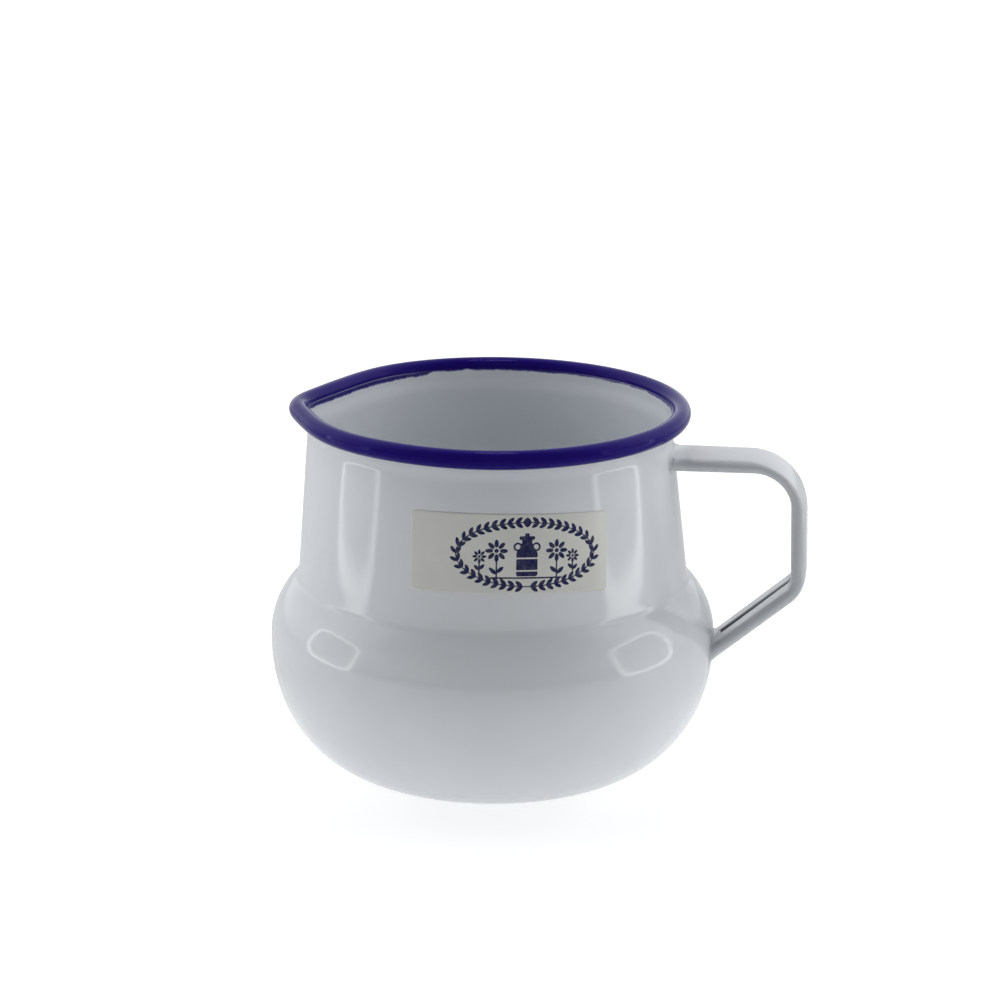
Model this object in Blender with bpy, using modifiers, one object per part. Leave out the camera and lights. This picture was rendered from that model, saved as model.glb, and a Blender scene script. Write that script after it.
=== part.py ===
"""Enamelled steel milk jug: bellied pot, rolled blue rim, pinched pouring lip and a strap handle.

Frame: metres, +Z up, origin at the middle of the flat base, handle towards +X, lip towards -X.
The pot is one turned steel shell. The rim is its top edge, curled outwards into an open bead.
The handle is a strip rolled into a flat tube with an open seam on the side of the hand, and it is
joined to the neck and to the belly by a welded pad at each end. Nothing on the jug moves.
"""

import math

import bmesh
import bpy
import numpy as np

# ---- Pot: driving dimensions ------------------------------------------------------------------
HEIGHT = 0.1065                # base to the top of the rolled rim
MOUTH_RADIUS = 0.04975         # inside of the rolled rim
WALL = 0.0009                  # steel with its enamel on both sides
RIM_TUBE_RADIUS = 0.00265      # outside of the rolled bead
CURL_END = math.radians(-118.0)  # where the bead's open edge stops, under itself
NECK_TOP_RADIUS = 0.0497       # outside of the neck's cone, carried up to the bead's underside
NECK_TAPER = math.radians(7.2)  # the neck widens downwards by this angle
MOUTH_FLARE = 0.0025           # height below the bead over which the neck flares to the mouth
BELLY_RADIUS = 0.0633          # widest point of the belly
BELLY_HEIGHT = 0.0391          # height of that widest point
SHOULDER_ARC = 0.0222          # radius of the arc from the widest point up to the neck
SHOULDER_FILLET = 0.0030       # hollow where the shoulder meets the neck
BASE_RADIUS = 0.0303           # flat that the jug stands on
LOWER_FULLNESS = 2.15          # 2 is an ellipse from belly to base, more is fuller

# ---- Pouring lip ------------------------------------------------------------------------------
LIP_REACH = 0.0026             # how far the rim is pushed out at the tip
LIP_RISE = 0.0002              # how far the tip stands above the rest of the rim
LIP_AZIMUTH = math.radians(-176.0)
LIP_HALF_ANGLE = math.radians(11.5)
# Pressing the lip draws the rim in on each side of it and leaves it a little out of round at the
# handle: angle from the tip, spread, and how far it goes inwards.
RIM_DRAWS = ((math.radians(-30.0), math.radians(17.0), 0.0016),
             (math.radians(64.0), math.radians(20.0), 0.0008),
             (math.radians(-165.0), math.radians(35.0), -0.0005))

# ---- Handle -----------------------------------------------------------------------------------
STRAP_WIDTH = 0.0180
STRAP_THICKNESS = 0.0036       # outside of the flattened tube, on its two long legs
GRIP_THICKNESS = 0.0042        # the same on the upright leg
STRAP_SHEET = 0.0008           # steel with enamel that the tube is rolled from
SEAM_GAP = 0.0008              # the open seam along the hand's side
SEAM_GAP_LOW = 0.0024          # the seam at the lower end, where it opens up
STRAP_DROP = 0.0127            # top of the rim down to the handle's upper face
FINGER_GAP = 0.0216            # belly's widest point to the inside of the upright leg
FOOT_HEIGHT = 0.0372           # where the middle of the lower leg meets the belly
GRIP_LEAN = 0.0008             # the top of the upright leg leans towards the pot by this
LEG_ANGLE = math.radians(39.8)  # the lower leg runs down to the belly at this angle
UPPER_BEND_OUTSIDE = 0.0170
UPPER_BEND_INSIDE = 0.0100
LOWER_BEND_OUTSIDE = 0.0115
LOWER_BEND_INSIDE = 0.0030
PAD_THICKNESS = 0.0008         # welded pads between the strap's ends and the wall
PAD_MARGIN = 0.0016            # how far a pad shows round the strap
PAD_CORNER = 0.0020

# ---- Label ------------------------------------------------------------------------------------
LABEL_WIDTH = 0.0557
LABEL_HEIGHT = 0.0218
LABEL_THICKNESS = 0.0003
LABEL_CORNER = 0.0015
LABEL_AZIMUTH = math.radians(-77.6)
LABEL_PLACE = 0.4636           # height of its middle, as a share of the neck from its foot up
LABEL_TILT = math.radians(-1.4)  # it was stuck on a little askew

# ---- Finish: base colour and roughness ---------------------------------------------------------
WHITE_ENAMEL = ((0.80, 0.81, 0.83), 0.12)
BLUE_ENAMEL = ((0.020, 0.010, 0.13), 0.12)
WELD_ENAMEL = ((0.70, 0.71, 0.73), 0.18)
LABEL_PAPER = ((0.62, 0.61, 0.57), 0.35)

# ---- Clearances and mesh fineness -------------------------------------------------------------
GAP = 0.0003                   # between pieces that touch
MERGE = 0.00002
TURN_STEPS = 72
RIM_ARC_STEPS = 9
BEND_STEPS = 7
EDGE_STEPS = 5
LOWER_STEPS = 9
SHOULDER_STEPS = 6
HOLLOW_STEPS = 4
NECK_STEPS = 5
LABEL_COLUMNS = 18
LABEL_ROWS = 5
CORNER_STEPS = 4
CUTTER_MARGIN = 0.0040
CUTTER_LOW = 0.3               # foot of the cutter round the pot, as a share of the belly's height
BAR_REACH = 0.25               # half length of the bar that outlines a weld, share of the reach
SMOOTH_ANGLE = math.radians(40.0)
ON_AXIS = 1e-9                 # keeps the middle of the base from dividing by nothing
SLEEVE_STEP = 0.0022           # height between the rings of a sleeve round the pot

# ---- Sizes that follow from those -------------------------------------------------------------
RIM_RING_RADIUS = MOUTH_RADIUS + RIM_TUBE_RADIUS
RIM_RING_HEIGHT = HEIGHT - RIM_TUBE_RADIUS
RIM_UNDERSIDE = RIM_RING_HEIGHT - RIM_TUBE_RADIUS
WALL_TOP = RIM_RING_HEIGHT - GAP
SHOULDER_CENTRE = BELLY_RADIUS - SHOULDER_ARC
STRAP_TOP = HEIGHT - STRAP_DROP
HANDLE_REACH = BELLY_RADIUS + FINGER_GAP + GRIP_THICKNESS

parts = None
cutters = None


def clear_scene():
    for item in list(bpy.data.objects):
        bpy.data.objects.remove(item, do_unlink=True)


def make_collection(name):
    collection = bpy.data.collections.new(name)
    bpy.context.scene.collection.children.link(collection)
    return collection


def material(name, colour, roughness):
    made = bpy.data.materials.new(name)
    made.use_nodes = True
    shader = made.node_tree.nodes["Principled BSDF"]
    shader.inputs["Base Color"].default_value = (*colour, 1.0)
    shader.inputs["Roughness"].default_value = roughness
    return made


def new_object(name, mesh, collection, finish=None):
    made = bpy.data.objects.new(name, mesh)
    collection.objects.link(made)
    if finish is not None:
        mesh.materials.append(finish)
    return made


def as_cutter(item):
    item.hide_render = True
    item.display_type = 'WIRE'


def baked(item):
    """The object's mesh with its modifiers applied, in place of the mesh and the modifiers."""
    bpy.context.view_layer.update()
    graph = bpy.context.evaluated_depsgraph_get()
    mesh = bpy.data.meshes.new_from_object(item.evaluated_get(graph))
    item.modifiers.clear()
    item.data = mesh
    return mesh


def smooth(item):
    item.data.shade_smooth()
    item.data.set_sharp_from_angle(angle=SMOOTH_ANGLE)


# ---- Pot profile ------------------------------------------------------------------------------
def neck_point(height):
    """Radius of the neck's outside at a height: a cone that widens downwards."""
    return NECK_TOP_RADIUS + (RIM_UNDERSIDE - height) * math.tan(NECK_TAPER)


def fillet_centre():
    """Centre of the hollow that touches the neck's cone and the shoulder's arc from outside."""
    normal = np.array([math.cos(NECK_TAPER), math.sin(NECK_TAPER)])
    along = np.array([-math.sin(NECK_TAPER), math.cos(NECK_TAPER)])
    start = np.array([neck_point(BELLY_HEIGHT), BELLY_HEIGHT]) + SHOULDER_FILLET * normal
    offset = start - np.array([SHOULDER_CENTRE, BELLY_HEIGHT])
    half = offset @ along
    reach = SHOULDER_ARC + SHOULDER_FILLET
    travel = -half + math.sqrt(half ** 2 - offset @ offset + reach ** 2)
    return start + travel * along


def arc(centre, radius, start, end, steps):
    """Points on an arc, both ends included, as (r, z)."""
    angles = np.linspace(start, end, steps + 1)
    return np.stack([centre[0] + radius * np.cos(angles), centre[1] + radius * np.sin(angles)], 1)


def outer_profile():
    """The pot's outside from the wall's top down to the middle of the base, as (r, z) rows."""
    hollow = fillet_centre()
    belly_angle = math.atan2(hollow[1] - BELLY_HEIGHT, hollow[0] - SHOULDER_CENTRE)
    neck = np.array([[MOUTH_RADIUS + WALL, WALL_TOP], [MOUTH_RADIUS + WALL, RIM_UNDERSIDE]])
    hollow_arc = arc(hollow, SHOULDER_FILLET, math.pi + NECK_TAPER, math.pi + belly_angle,
                     HOLLOW_STEPS)
    neck_heights = np.linspace(RIM_UNDERSIDE - MOUTH_FLARE, hollow_arc[0, 1], NECK_STEPS)[:-1]
    cone = np.array([[neck_point(z), z] for z in neck_heights])
    middle = (SHOULDER_CENTRE, BELLY_HEIGHT)
    shoulder = arc(middle, SHOULDER_ARC, belly_angle, 0.0, SHOULDER_STEPS)[1:]
    turn = np.linspace(0.0, math.pi / 2, LOWER_STEPS + 1)[1:]
    power = 2.0 / LOWER_FULLNESS
    lower_r = BASE_RADIUS + (BELLY_RADIUS - BASE_RADIUS) * np.cos(turn).clip(0.0) ** power
    lower_z = BELLY_HEIGHT - BELLY_HEIGHT * np.sin(turn) ** power
    lower = np.stack([lower_r, lower_z], 1)
    return np.concatenate([neck, cone, hollow_arc, shoulder, lower, [[0.0, 0.0]]])


def wall_radius(height):
    """Outside radius of the pot at a height, read from its profile."""
    profile = outer_profile()[::-1]
    return float(np.interp(height, profile[1:, 1], profile[1:, 0]))


def grown_profile(distance, low, high):
    """The pot's outside between two heights, moved outwards along its own normals."""
    heights = np.linspace(high, low, math.ceil((high - low) / SLEEVE_STEP) + 1)
    radii = np.array([wall_radius(z) for z in heights])
    slope = np.gradient(radii, heights)
    length = np.sqrt(1.0 + slope ** 2)
    return np.stack([radii + distance / length, heights - distance * slope / length], 1)


def profile_mesh(name, points, closed=False):
    """A line of edges in the XZ plane, ready for a Screw modifier."""
    count = len(points)
    edges = [(i, i + 1) for i in range(count - 1)]
    if closed:
        edges.append((count - 1, 0))
    mesh = bpy.data.meshes.new(name)
    mesh.from_pydata([(r, 0.0, z) for r, z in points], edges, [])
    return mesh


def turned(item):
    screw = item.modifiers.new("turn", 'SCREW')
    screw.axis = 'Z'
    screw.steps = TURN_STEPS
    screw.render_steps = TURN_STEPS
    screw.use_merge_vertices = True
    screw.merge_threshold = MERGE
    screw.use_normal_calculate = False


# ---- Pouring lip ------------------------------------------------------------------------------
def pour_lip(points):
    """Push the neck and the rim out into a lip, and draw them in or out at their other places.

    Round the jug the push is exp(-(angle / half angle)^2) from the lip's middle, and each draw is
    the same bell about its own angle. All start at nothing at the hollow above the belly and
    grow evenly with height up to the bead's underside, and the bead takes them in full.
    """
    hollow = fillet_centre()[1]
    x, y, z = points[:, 0], points[:, 1], points[:, 2]
    radius = np.hypot(x, y).clip(ON_AXIS)
    angle = np.arctan2(y, x) - LIP_AZIMUTH
    angle = (angle + math.pi) % (2 * math.pi) - math.pi
    push = np.exp(-((angle / LIP_HALF_ANGLE) ** 2))
    outward = LIP_REACH * push
    for place, spread, depth in RIM_DRAWS:
        beside = (angle - place + math.pi) % (2 * math.pi) - math.pi
        outward = outward - depth * np.exp(-((beside / spread) ** 2))
    up = ((z - hollow) / (RIM_UNDERSIDE - hollow)).clip(0.0, 1.0)
    scale = 1.0 + outward * up / radius
    return np.stack([x * scale, y * scale, z + LIP_RISE * up * push], 1)


def form_lip(mesh):
    count = len(mesh.vertices)
    flat = np.empty(count * 3)
    mesh.vertices.foreach_get("co", flat)
    mesh.vertices.foreach_set("co", pour_lip(flat.reshape(count, 3)).ravel())
    mesh.update()


# ---- Pieces of the pot ------------------------------------------------------------------------
def pot_shell(finish):
    item = new_object("pot_shell", profile_mesh("pot_shell", outer_profile()), parts)
    turned(item)
    form_lip(baked(item))
    item.data.materials.append(finish)
    wall = item.modifiers.new("wall", 'SOLIDIFY')
    wall.thickness = WALL
    wall.offset = -1.0
    wall.use_even_offset = True
    smooth(item)


def rim_bead(finish):
    """The curl: it starts on the wall's top edge, goes over and out, and ends under itself."""
    centre = (RIM_RING_RADIUS, RIM_RING_HEIGHT)
    outside = arc(centre, RIM_TUBE_RADIUS, math.pi, CURL_END, RIM_ARC_STEPS)
    inside = arc(centre, RIM_TUBE_RADIUS - WALL, CURL_END, math.pi, RIM_ARC_STEPS)
    section = np.concatenate([outside, inside])
    item = new_object("rim_bead", profile_mesh("rim_bead", section, closed=True), parts)
    turned(item)
    form_lip(baked(item))
    item.data.materials.append(finish)
    smooth(item)


# ---- Handle -----------------------------------------------------------------------------------
def rounded_corner(before, corner, after, radius, steps):
    """An arc of one radius in the corner of two straight lines."""
    to_before = (before - corner) / np.linalg.norm(before - corner)
    to_after = (after - corner) / np.linalg.norm(after - corner)
    half = math.acos(float(to_before @ to_after)) / 2
    bisector = (to_before + to_after) / np.linalg.norm(to_before + to_after)
    centre = corner + bisector * radius / math.sin(half)
    first = corner + to_before * radius / math.tan(half) - centre
    second = corner + to_after * radius / math.tan(half) - centre
    start = math.atan2(first[1], first[0])
    sweep = math.atan2(second[1], second[0]) - start
    sweep = (sweep + math.pi) % (2 * math.pi) - math.pi
    return arc(centre, radius, start, start + sweep, steps)


def handle_line(top, reach, leg_offset, upper_bend, lower_bend):
    """One face of the strap in the XZ plane, from inside the neck to inside the belly."""
    low_corner = grip_foot() + leg_offset
    leg = np.array([-math.cos(LEG_ANGLE), -math.sin(LEG_ANGLE)])
    slide = (reach - low_corner[0]) / leg[0]
    low_corner = low_corner + slide * leg
    start = np.array([wall_radius(top) - CUTTER_MARGIN, top])
    high_corner = np.array([reach - GRIP_LEAN, top])
    length = (reach - BELLY_RADIUS + CUTTER_MARGIN) / math.cos(LEG_ANGLE)
    end = low_corner + leg * length
    upper = rounded_corner(start, high_corner, low_corner, upper_bend, BEND_STEPS)
    lower = rounded_corner(high_corner, low_corner, end, lower_bend, BEND_STEPS)
    return np.concatenate([[start], upper, lower, [end]])


def grip_foot():
    """The corner of the strap's middle line at the bottom of the upright leg."""
    reach = HANDLE_REACH - GRIP_THICKNESS / 2
    rise = (reach - wall_radius(FOOT_HEIGHT)) * math.tan(LEG_ANGLE)
    return np.array([reach, FOOT_HEIGHT + rise])


def strap_lines():
    """The strap's outer and inner faces, with as many points each, matched one to one."""
    across = np.array([math.sin(LEG_ANGLE), -math.cos(LEG_ANGLE)]) * STRAP_THICKNESS / 2
    outer = handle_line(STRAP_TOP, HANDLE_REACH, across, UPPER_BEND_OUTSIDE, LOWER_BEND_OUTSIDE)
    inner = handle_line(STRAP_TOP - STRAP_THICKNESS, HANDLE_REACH - GRIP_THICKNESS, -across,
                        UPPER_BEND_INSIDE, LOWER_BEND_INSIDE)
    return outer, inner


def strap_section(thickness, seam):
    """The flat tube's section, open at the seam, as (across, outwards) rows round one loop."""
    radius = thickness / 2
    flat = STRAP_WIDTH / 2 - radius
    bore = radius - STRAP_SHEET
    angles = np.linspace(-math.pi / 2, math.pi / 2, EDGE_STEPS + 1)
    edge = np.stack([np.cos(angles), np.sin(angles)], 1)
    right = np.array([flat, 0.0])
    mirror = np.array([-1.0, 1.0])
    outside = np.concatenate([[[seam / 2, -radius]], right + radius * edge])
    inside = np.concatenate([[[seam / 2, -bore]], right + bore * edge])
    outside = np.concatenate([outside, (outside * mirror)[::-1]])
    inside = np.concatenate([inside, (inside * mirror)[::-1]])
    return np.concatenate([outside, inside[::-1]])


def loft(name, rings):
    """A closed body through equal rings of points, with a flat cap on each end."""
    mesh = bpy.data.meshes.new(name)
    count = rings.shape[1]
    bm = bmesh.new()
    rows = [[bm.verts.new(point) for point in ring] for ring in rings]
    for low, high in zip(rows[:-1], rows[1:]):
        for i in range(count):
            j = (i + 1) % count
            bm.faces.new((low[i], low[j], high[j], high[i]))
    bm.faces.new(rows[0][::-1])
    bm.faces.new(rows[-1])
    bmesh.ops.recalc_face_normals(bm, faces=bm.faces)
    bm.to_mesh(mesh)
    bm.free()
    return mesh


def pot_cutter(name, distance):
    """A turned solid: the pot's outside between rim and base, grown by a distance."""
    side = grown_profile(distance, BELLY_HEIGHT * CUTTER_LOW, RIM_UNDERSIDE)
    closed = np.concatenate([[[0.0, side[0, 1]]], side, [[0.0, side[-1, 1]]]])
    item = new_object(name, profile_mesh(name, closed), cutters)
    turned(item)
    form_lip(baked(item))
    as_cutter(item)
    return item


def subtract(item, cutter, operation='DIFFERENCE'):
    cut = item.modifiers.new(cutter.name, 'BOOLEAN')
    cut.operation = operation
    cut.solver = 'EXACT'
    cut.object = cutter


def handle_strap(finish):
    outer, inner = strap_lines()
    middle = (outer + inner) / 2
    thickness = np.linalg.norm(outer - inner, axis=1)
    outwards = (outer - inner) / thickness[:, None]
    travel = np.concatenate([[0.0], np.cumsum(np.linalg.norm(np.diff(middle, axis=0), axis=1))])
    leg_start = travel[-2]
    opening = ((travel - leg_start) / (travel[-1] - leg_start)).clip(0.0, 1.0)
    seams = SEAM_GAP + (SEAM_GAP_LOW - SEAM_GAP) * opening
    rings = []
    for place, normal, deep, seam in zip(middle, outwards, thickness, seams):
        section = strap_section(deep, seam)
        rings.append(np.stack([place[0] + normal[0] * section[:, 1], section[:, 0],
                               place[1] + normal[1] * section[:, 1]], 1))
    item = new_object("handle_strap", loft("handle_strap", np.array(rings)), parts, finish)
    subtract(item, pot_cutter("strap_end_cutter", GAP + PAD_THICKNESS + GAP))
    smooth(item)


def rounded_bar(name, width, height, corner, collection):
    """A bar along +X from the axis outwards, with a rounded rectangle as its section."""
    curve = bpy.data.curves.new(name, 'CURVE')
    curve.dimensions = '2D'
    curve.fill_mode = 'BOTH'
    curve.extrude = HANDLE_REACH * BAR_REACH
    outline = []
    for index, (side, up) in enumerate(((1, 1), (-1, 1), (-1, -1), (1, -1))):
        centre = (side * (width / 2 - corner), up * (height / 2 - corner))
        start = index * math.pi / 2
        outline.append(arc(centre, corner, start, start + math.pi / 2, CORNER_STEPS))
    outline = np.concatenate(outline)
    spline = curve.splines.new('POLY')
    spline.points.add(len(outline) - 1)
    spline.use_cyclic_u = True
    for point, (across, up) in zip(spline.points, outline):
        point.co = (across, up, 0.0, 1.0)
    made = bpy.data.objects.new(name + "_curve", curve)
    collection.objects.link(made)
    bpy.context.view_layer.update()
    graph = bpy.context.evaluated_depsgraph_get()
    mesh = bpy.data.meshes.new_from_object(made.evaluated_get(graph))
    bpy.data.objects.remove(made, do_unlink=True)
    bm = bmesh.new()
    bm.from_mesh(mesh)
    bmesh.ops.remove_doubles(bm, verts=bm.verts, dist=MERGE)
    bmesh.ops.recalc_face_normals(bm, faces=bm.faces)
    bm.to_mesh(mesh)
    bm.free()
    return new_object(name, mesh, collection)


def weld_pad(name, middle, height, finish):
    """A thin plate that follows the wall behind one end of the strap."""
    near = grown_profile(GAP, middle - height, middle + height)
    far = grown_profile(GAP + PAD_THICKNESS, middle - height, middle + height)
    band = np.concatenate([far, near[::-1]])
    item = new_object(name, profile_mesh(name, band, closed=True), parts)
    turned(item)
    form_lip(baked(item))
    item.data.materials.append(finish)
    bar = rounded_bar(name + "_outline", STRAP_WIDTH + 2 * PAD_MARGIN, height, PAD_CORNER, cutters)
    bar.rotation_euler = (math.pi / 2, 0.0, math.pi / 2)
    bar.location = (wall_radius(middle), 0.0, middle)
    as_cutter(bar)
    subtract(item, bar, 'INTERSECT')
    smooth(item)


def upper_weld_pad(finish):
    height = STRAP_THICKNESS + 2 * PAD_MARGIN
    weld_pad("upper_weld_pad", STRAP_TOP - STRAP_THICKNESS / 2, height, finish)


def lower_weld_pad(finish):
    """The lower leg lands slantwise, so its pad is taller than the strap is thick."""
    height = STRAP_THICKNESS / math.cos(LEG_ANGLE) + 2 * PAD_MARGIN
    weld_pad("lower_weld_pad", FOOT_HEIGHT, height, finish)


# ---- Label ------------------------------------------------------------------------------------
def on_neck(along, up, lift):
    """A point of a flat sheet rolled onto the neck's cone without stretching it.

    The cone unrolls about its apex: the point's distance from the apex gives its place on the
    slant, and its angle there, divided by the sine of the taper, gives its azimuth.
    """
    sine = math.sin(NECK_TAPER)
    cosine = math.cos(NECK_TAPER)
    foot = fillet_centre()[1]
    middle = foot + LABEL_PLACE * (RIM_UNDERSIDE - foot)
    apex = neck_point(middle) / sine
    slant = math.hypot(apex - up, along)
    azimuth = LABEL_AZIMUTH + math.atan2(along, apex - up) / sine
    radius = slant * sine + lift * cosine
    height = middle + (apex - slant) * cosine + lift * sine
    return radius * math.cos(azimuth), radius * math.sin(azimuth), height


def label_sticker(finish):
    """A rounded rectangle rolled onto the neck, then given its thickness outwards."""
    bm = bmesh.new()
    straight = LABEL_WIDTH / 2 - LABEL_CORNER
    corner = straight + LABEL_CORNER * np.sin(np.linspace(0.0, math.pi / 2, CORNER_STEPS + 1)[1:])
    across = np.linspace(-straight, straight, LABEL_COLUMNS + 1)
    across = np.concatenate([-corner[::-1], across, corner])
    inset = (np.abs(across) - straight).clip(0.0)
    half = LABEL_HEIGHT / 2 - LABEL_CORNER + np.sqrt((LABEL_CORNER ** 2 - inset ** 2).clip(0.0))
    tilt = np.array([[math.cos(LABEL_TILT), math.sin(LABEL_TILT)],
                     [-math.sin(LABEL_TILT), math.cos(LABEL_TILT)]])
    rows = []
    for along, reach in zip(across, half):
        flat = np.array([[along, part * reach] for part in np.linspace(-1.0, 1.0, LABEL_ROWS)])
        flat = flat @ tilt
        rows.append([bm.verts.new(on_neck(u, v, GAP)) for u, v in flat])
    for left, right in zip(rows[:-1], rows[1:]):
        for i in range(len(left) - 1):
            bm.faces.new((left[i], right[i], right[i + 1], left[i + 1]))
    mesh = bpy.data.meshes.new("label_sticker")
    bm.to_mesh(mesh)
    bm.free()
    form_lip(mesh)
    item = new_object("label_sticker", mesh, parts, finish)
    film = item.modifiers.new("film", 'SOLIDIFY')
    film.thickness = LABEL_THICKNESS
    film.offset = 1.0
    smooth(item)


def main():
    global parts, cutters
    clear_scene()
    parts = make_collection("milk_jug")
    cutters = make_collection("milk_jug_cutters")
    white = material("white_enamel", *WHITE_ENAMEL)
    blue = material("blue_enamel", *BLUE_ENAMEL)
    weld = material("enamelled_weld", *WELD_ENAMEL)
    paper = material("label_film", *LABEL_PAPER)
    pot_shell(white)
    rim_bead(blue)
    handle_strap(white)
    upper_weld_pad(weld)
    lower_weld_pad(weld)
    label_sticker(paper)


main()
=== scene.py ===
"""Enamelled steel milk jug: white bellied pot, blue rolled rim, flat-tube handle, printed sticker.

Metres, +Z up, origin at the middle of the flat base, handle towards +X, pouring lip towards -X.
"""
import math

import bpy
import numpy as np
from bpy.props import FloatProperty, FloatVectorProperty, PointerProperty
from mathutils import Matrix, Vector


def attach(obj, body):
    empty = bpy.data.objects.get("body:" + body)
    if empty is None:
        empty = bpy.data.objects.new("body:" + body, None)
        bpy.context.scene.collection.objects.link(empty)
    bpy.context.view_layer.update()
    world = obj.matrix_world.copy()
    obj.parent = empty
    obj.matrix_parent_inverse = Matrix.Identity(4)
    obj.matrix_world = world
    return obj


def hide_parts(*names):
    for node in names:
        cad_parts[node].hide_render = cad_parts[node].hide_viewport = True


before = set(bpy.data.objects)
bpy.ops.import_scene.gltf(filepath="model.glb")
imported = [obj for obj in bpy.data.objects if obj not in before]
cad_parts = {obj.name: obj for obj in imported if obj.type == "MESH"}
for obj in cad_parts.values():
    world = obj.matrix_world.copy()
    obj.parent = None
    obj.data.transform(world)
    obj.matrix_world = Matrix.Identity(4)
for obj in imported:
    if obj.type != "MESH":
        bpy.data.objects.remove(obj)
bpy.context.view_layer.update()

bl_info = {
    "name": "Enamelled Milk Jug",
    "version": (1, 0, 0),
    "blender": (4, 5, 0),
    "location": "3D View > Sidebar > Milk Jug",
    "description": "Builds an enamelled milk jug around its solid model, piece by piece",
    "category": "Object",
}

MM = 0.001
BODY = "root"

# How finely each surface is divided: round the pot, the rim and a weld, then along the parts of
# each profile and path.
ROUND = 320
ROUND_RIM = 420
ROUND_WELD = 144
FLARE_ROWS = 16
CONE_ROWS = 18
HOLLOW_STEPS = 9
SHOULDER_STEPS = 18
LOWER_ROWS = 45
BASE_ROWS = 12
CURL_STEPS = 46
CURL_EDGE_STEPS = 8
CURL_INSIDE_STEPS = 24
LEG_STEPS = 10
UPPER_BEND_STEPS = 26
LOWER_BEND_STEPS = 20
SEAM_FLAT_ROWS = 9
SIDE_ROWS = 15
FAR_FLAT_ROWS = 13
RAW_EDGE_ROWS = 7
FILLET_ROWS = 13
CORNER_STEPS = 8
PRINT_STEP = 0.25 * MM

# The curl starts inside the wall's top and ends under itself.
CURL_START = math.radians(188.0)
CURL_END = math.radians(-118.0)

# The middle of the base stands up: from this far inside its edge, over this width.
RECESS_INSIDE = 2.0 * MM
RECESS_WIDTH = 6.0 * MM

# Pressing the lip draws the rim in on both sides of it and leaves it a little out of round at the
# handle. Each row is the angle from the lip's tip, the spread, and the depth inwards.
RIM_DRAWS = ((math.radians(-30.0), math.radians(17.0), 1.6 * MM),
             (math.radians(64.0), math.radians(20.0), 0.8 * MM),
             (math.radians(-165.0), math.radians(35.0), -0.5 * MM))

# The blue's lower edge on the inner wall: its place under the middle of the rim, how much lower it
# hangs beside the lip, where that stretch starts and ends (angle from the lip's tip, width of the
# step), the nick where the brush was lifted (angle, spread, depth), and its waver as rows of
# height, waves a turn and phase. The outer wall is blue only inside the curl, this far above the
# curl's underside. NO_BLUE is a depth far below any blue.
BLUE_HANG = 0.55 * MM
BLUE_LOWER = 0.85 * MM
BLUE_FROM = (math.radians(-66.0), math.radians(3.0))
BLUE_TO = (math.radians(4.0), math.radians(10.0))
BLUE_NICK = (math.radians(-78.0), math.radians(2.2), 0.25 * MM)
BLUE_WAVER = ((0.10 * MM, 5.0, 0.7), (0.07 * MM, 13.0, 2.1), (0.05 * MM, 31.0, 4.0),
              (0.03 * MM, 67.0, 1.0))
BLUE_OUTSIDE = 0.9 * MM
NO_BLUE = -1.0

# The handle's legs start this far outside the wall and are then dropped to this depth in it.
LEG_CLEAR = 3.0 * MM
LEG_DEPTH = 0.45 * MM
DROP_REACH = 14.0 * MM
DROP_HALVINGS = 40
SEAM_OPENS = 44.0 * MM         # length of the handle's lower end over which the seam opens

# Welds: how high each climbs the handle, how much higher the lower one does in the handle's
# crook, and the rows of share, waves round the handle and phase that make their edges uneven.
UPPER_CLIMB = 1.5 * MM
LOWER_CLIMB = 1.9 * MM
CROOK_CLIMB = 1.2 * MM
CROOK_SPREAD = 0.30
SPREAD_WAVER = ((0.16, 3.0, 0.6), (0.10, 7.0, 2.0))
CLIMB_WAVER = ((0.14, 2.0, 1.0), (0.08, 5.0, 0.0))
STADIUM_SLOPE = 1.6            # how soon the stadium's straight sides end, over 1
WELD_SKIN = 0.02 * MM          # the fillet's thin edge stops this deep in the wall
WELD_TUCK = 0.1 * MM           # inside the wall the weld is narrower by this
WELD_ROOT = 0.5 * MM           # the weld closes this deep in the wall
WELD_IN_SHEET = 0.45 * MM      # and this deep in the handle's sheet
WELD_INSIDE_CLIMB = 0.8        # where it climbs to this share of its height

# Sticker: its back and the foot of its front stand this far off the enamel. At its edge the paper
# is this share of its thickness, and it reaches the whole of it this far inside.
STICKER_BACK = 0.01 * MM
STICKER_FRONT = 0.02 * MM
PAPER_EDGE_SHARE = 0.45
PAPER_EDGE = 0.12 * MM

# The print, drawn in millimetres from its middle. A bar is (x, y, half width, half height,
# corner), a leaf (x, y, tilt, length, width) and a daisy (x, y, radius). Stems, leaves and daisies
# stand on both sides of the churn.
PRINT_MIDDLE = (4.2, -0.1)
CHURN_BODY = (0.0, -2.6, 2.9, 3.3, 0.6)
CHURN_NECK = (0.0, 3.1, 1.4, 1.1, 0.3)
CHURN_LID = (0.0, 4.5, 2.1, 0.5, 0.3)
CHURN_KNOB = (0.0, 5.3, 0.6, 0.5, 0.25)
SLOPE_HEIGHTS = (0.4, 2.6)
SLOPE_RADII = (2.9, 1.5)
SLOPE_FROM = 0.2
SLOPE_TO = 3.0
EAR_MIDDLE = (2.5, 2.1)
EAR_RADIUS = 0.95
EAR_HALF = 0.26
HOOP_HEIGHTS = (-1.0, -4.4)
HOOP_HALF = 0.2
STEMS = ((8.2, -3.6, 0.2, 2.6, 0.2), (12.8, -3.2, 0.2, 1.8, 0.2))
LEAVES = ((8.2, -5.4, 0.75, 2.8, 1.1), (8.2, -5.0, 2.4, 2.6, 1.1),
          (12.8, -4.4, 0.8, 2.1, 0.9), (12.8, -4.2, 2.3, 2.1, 0.9))
GROUND = (0.0, -6.35, 9.8, 0.22, 0.2)
DAISIES = ((8.2, 1.0, 3.0), (12.8, -0.6, 1.9))
PETALS = 8
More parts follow.
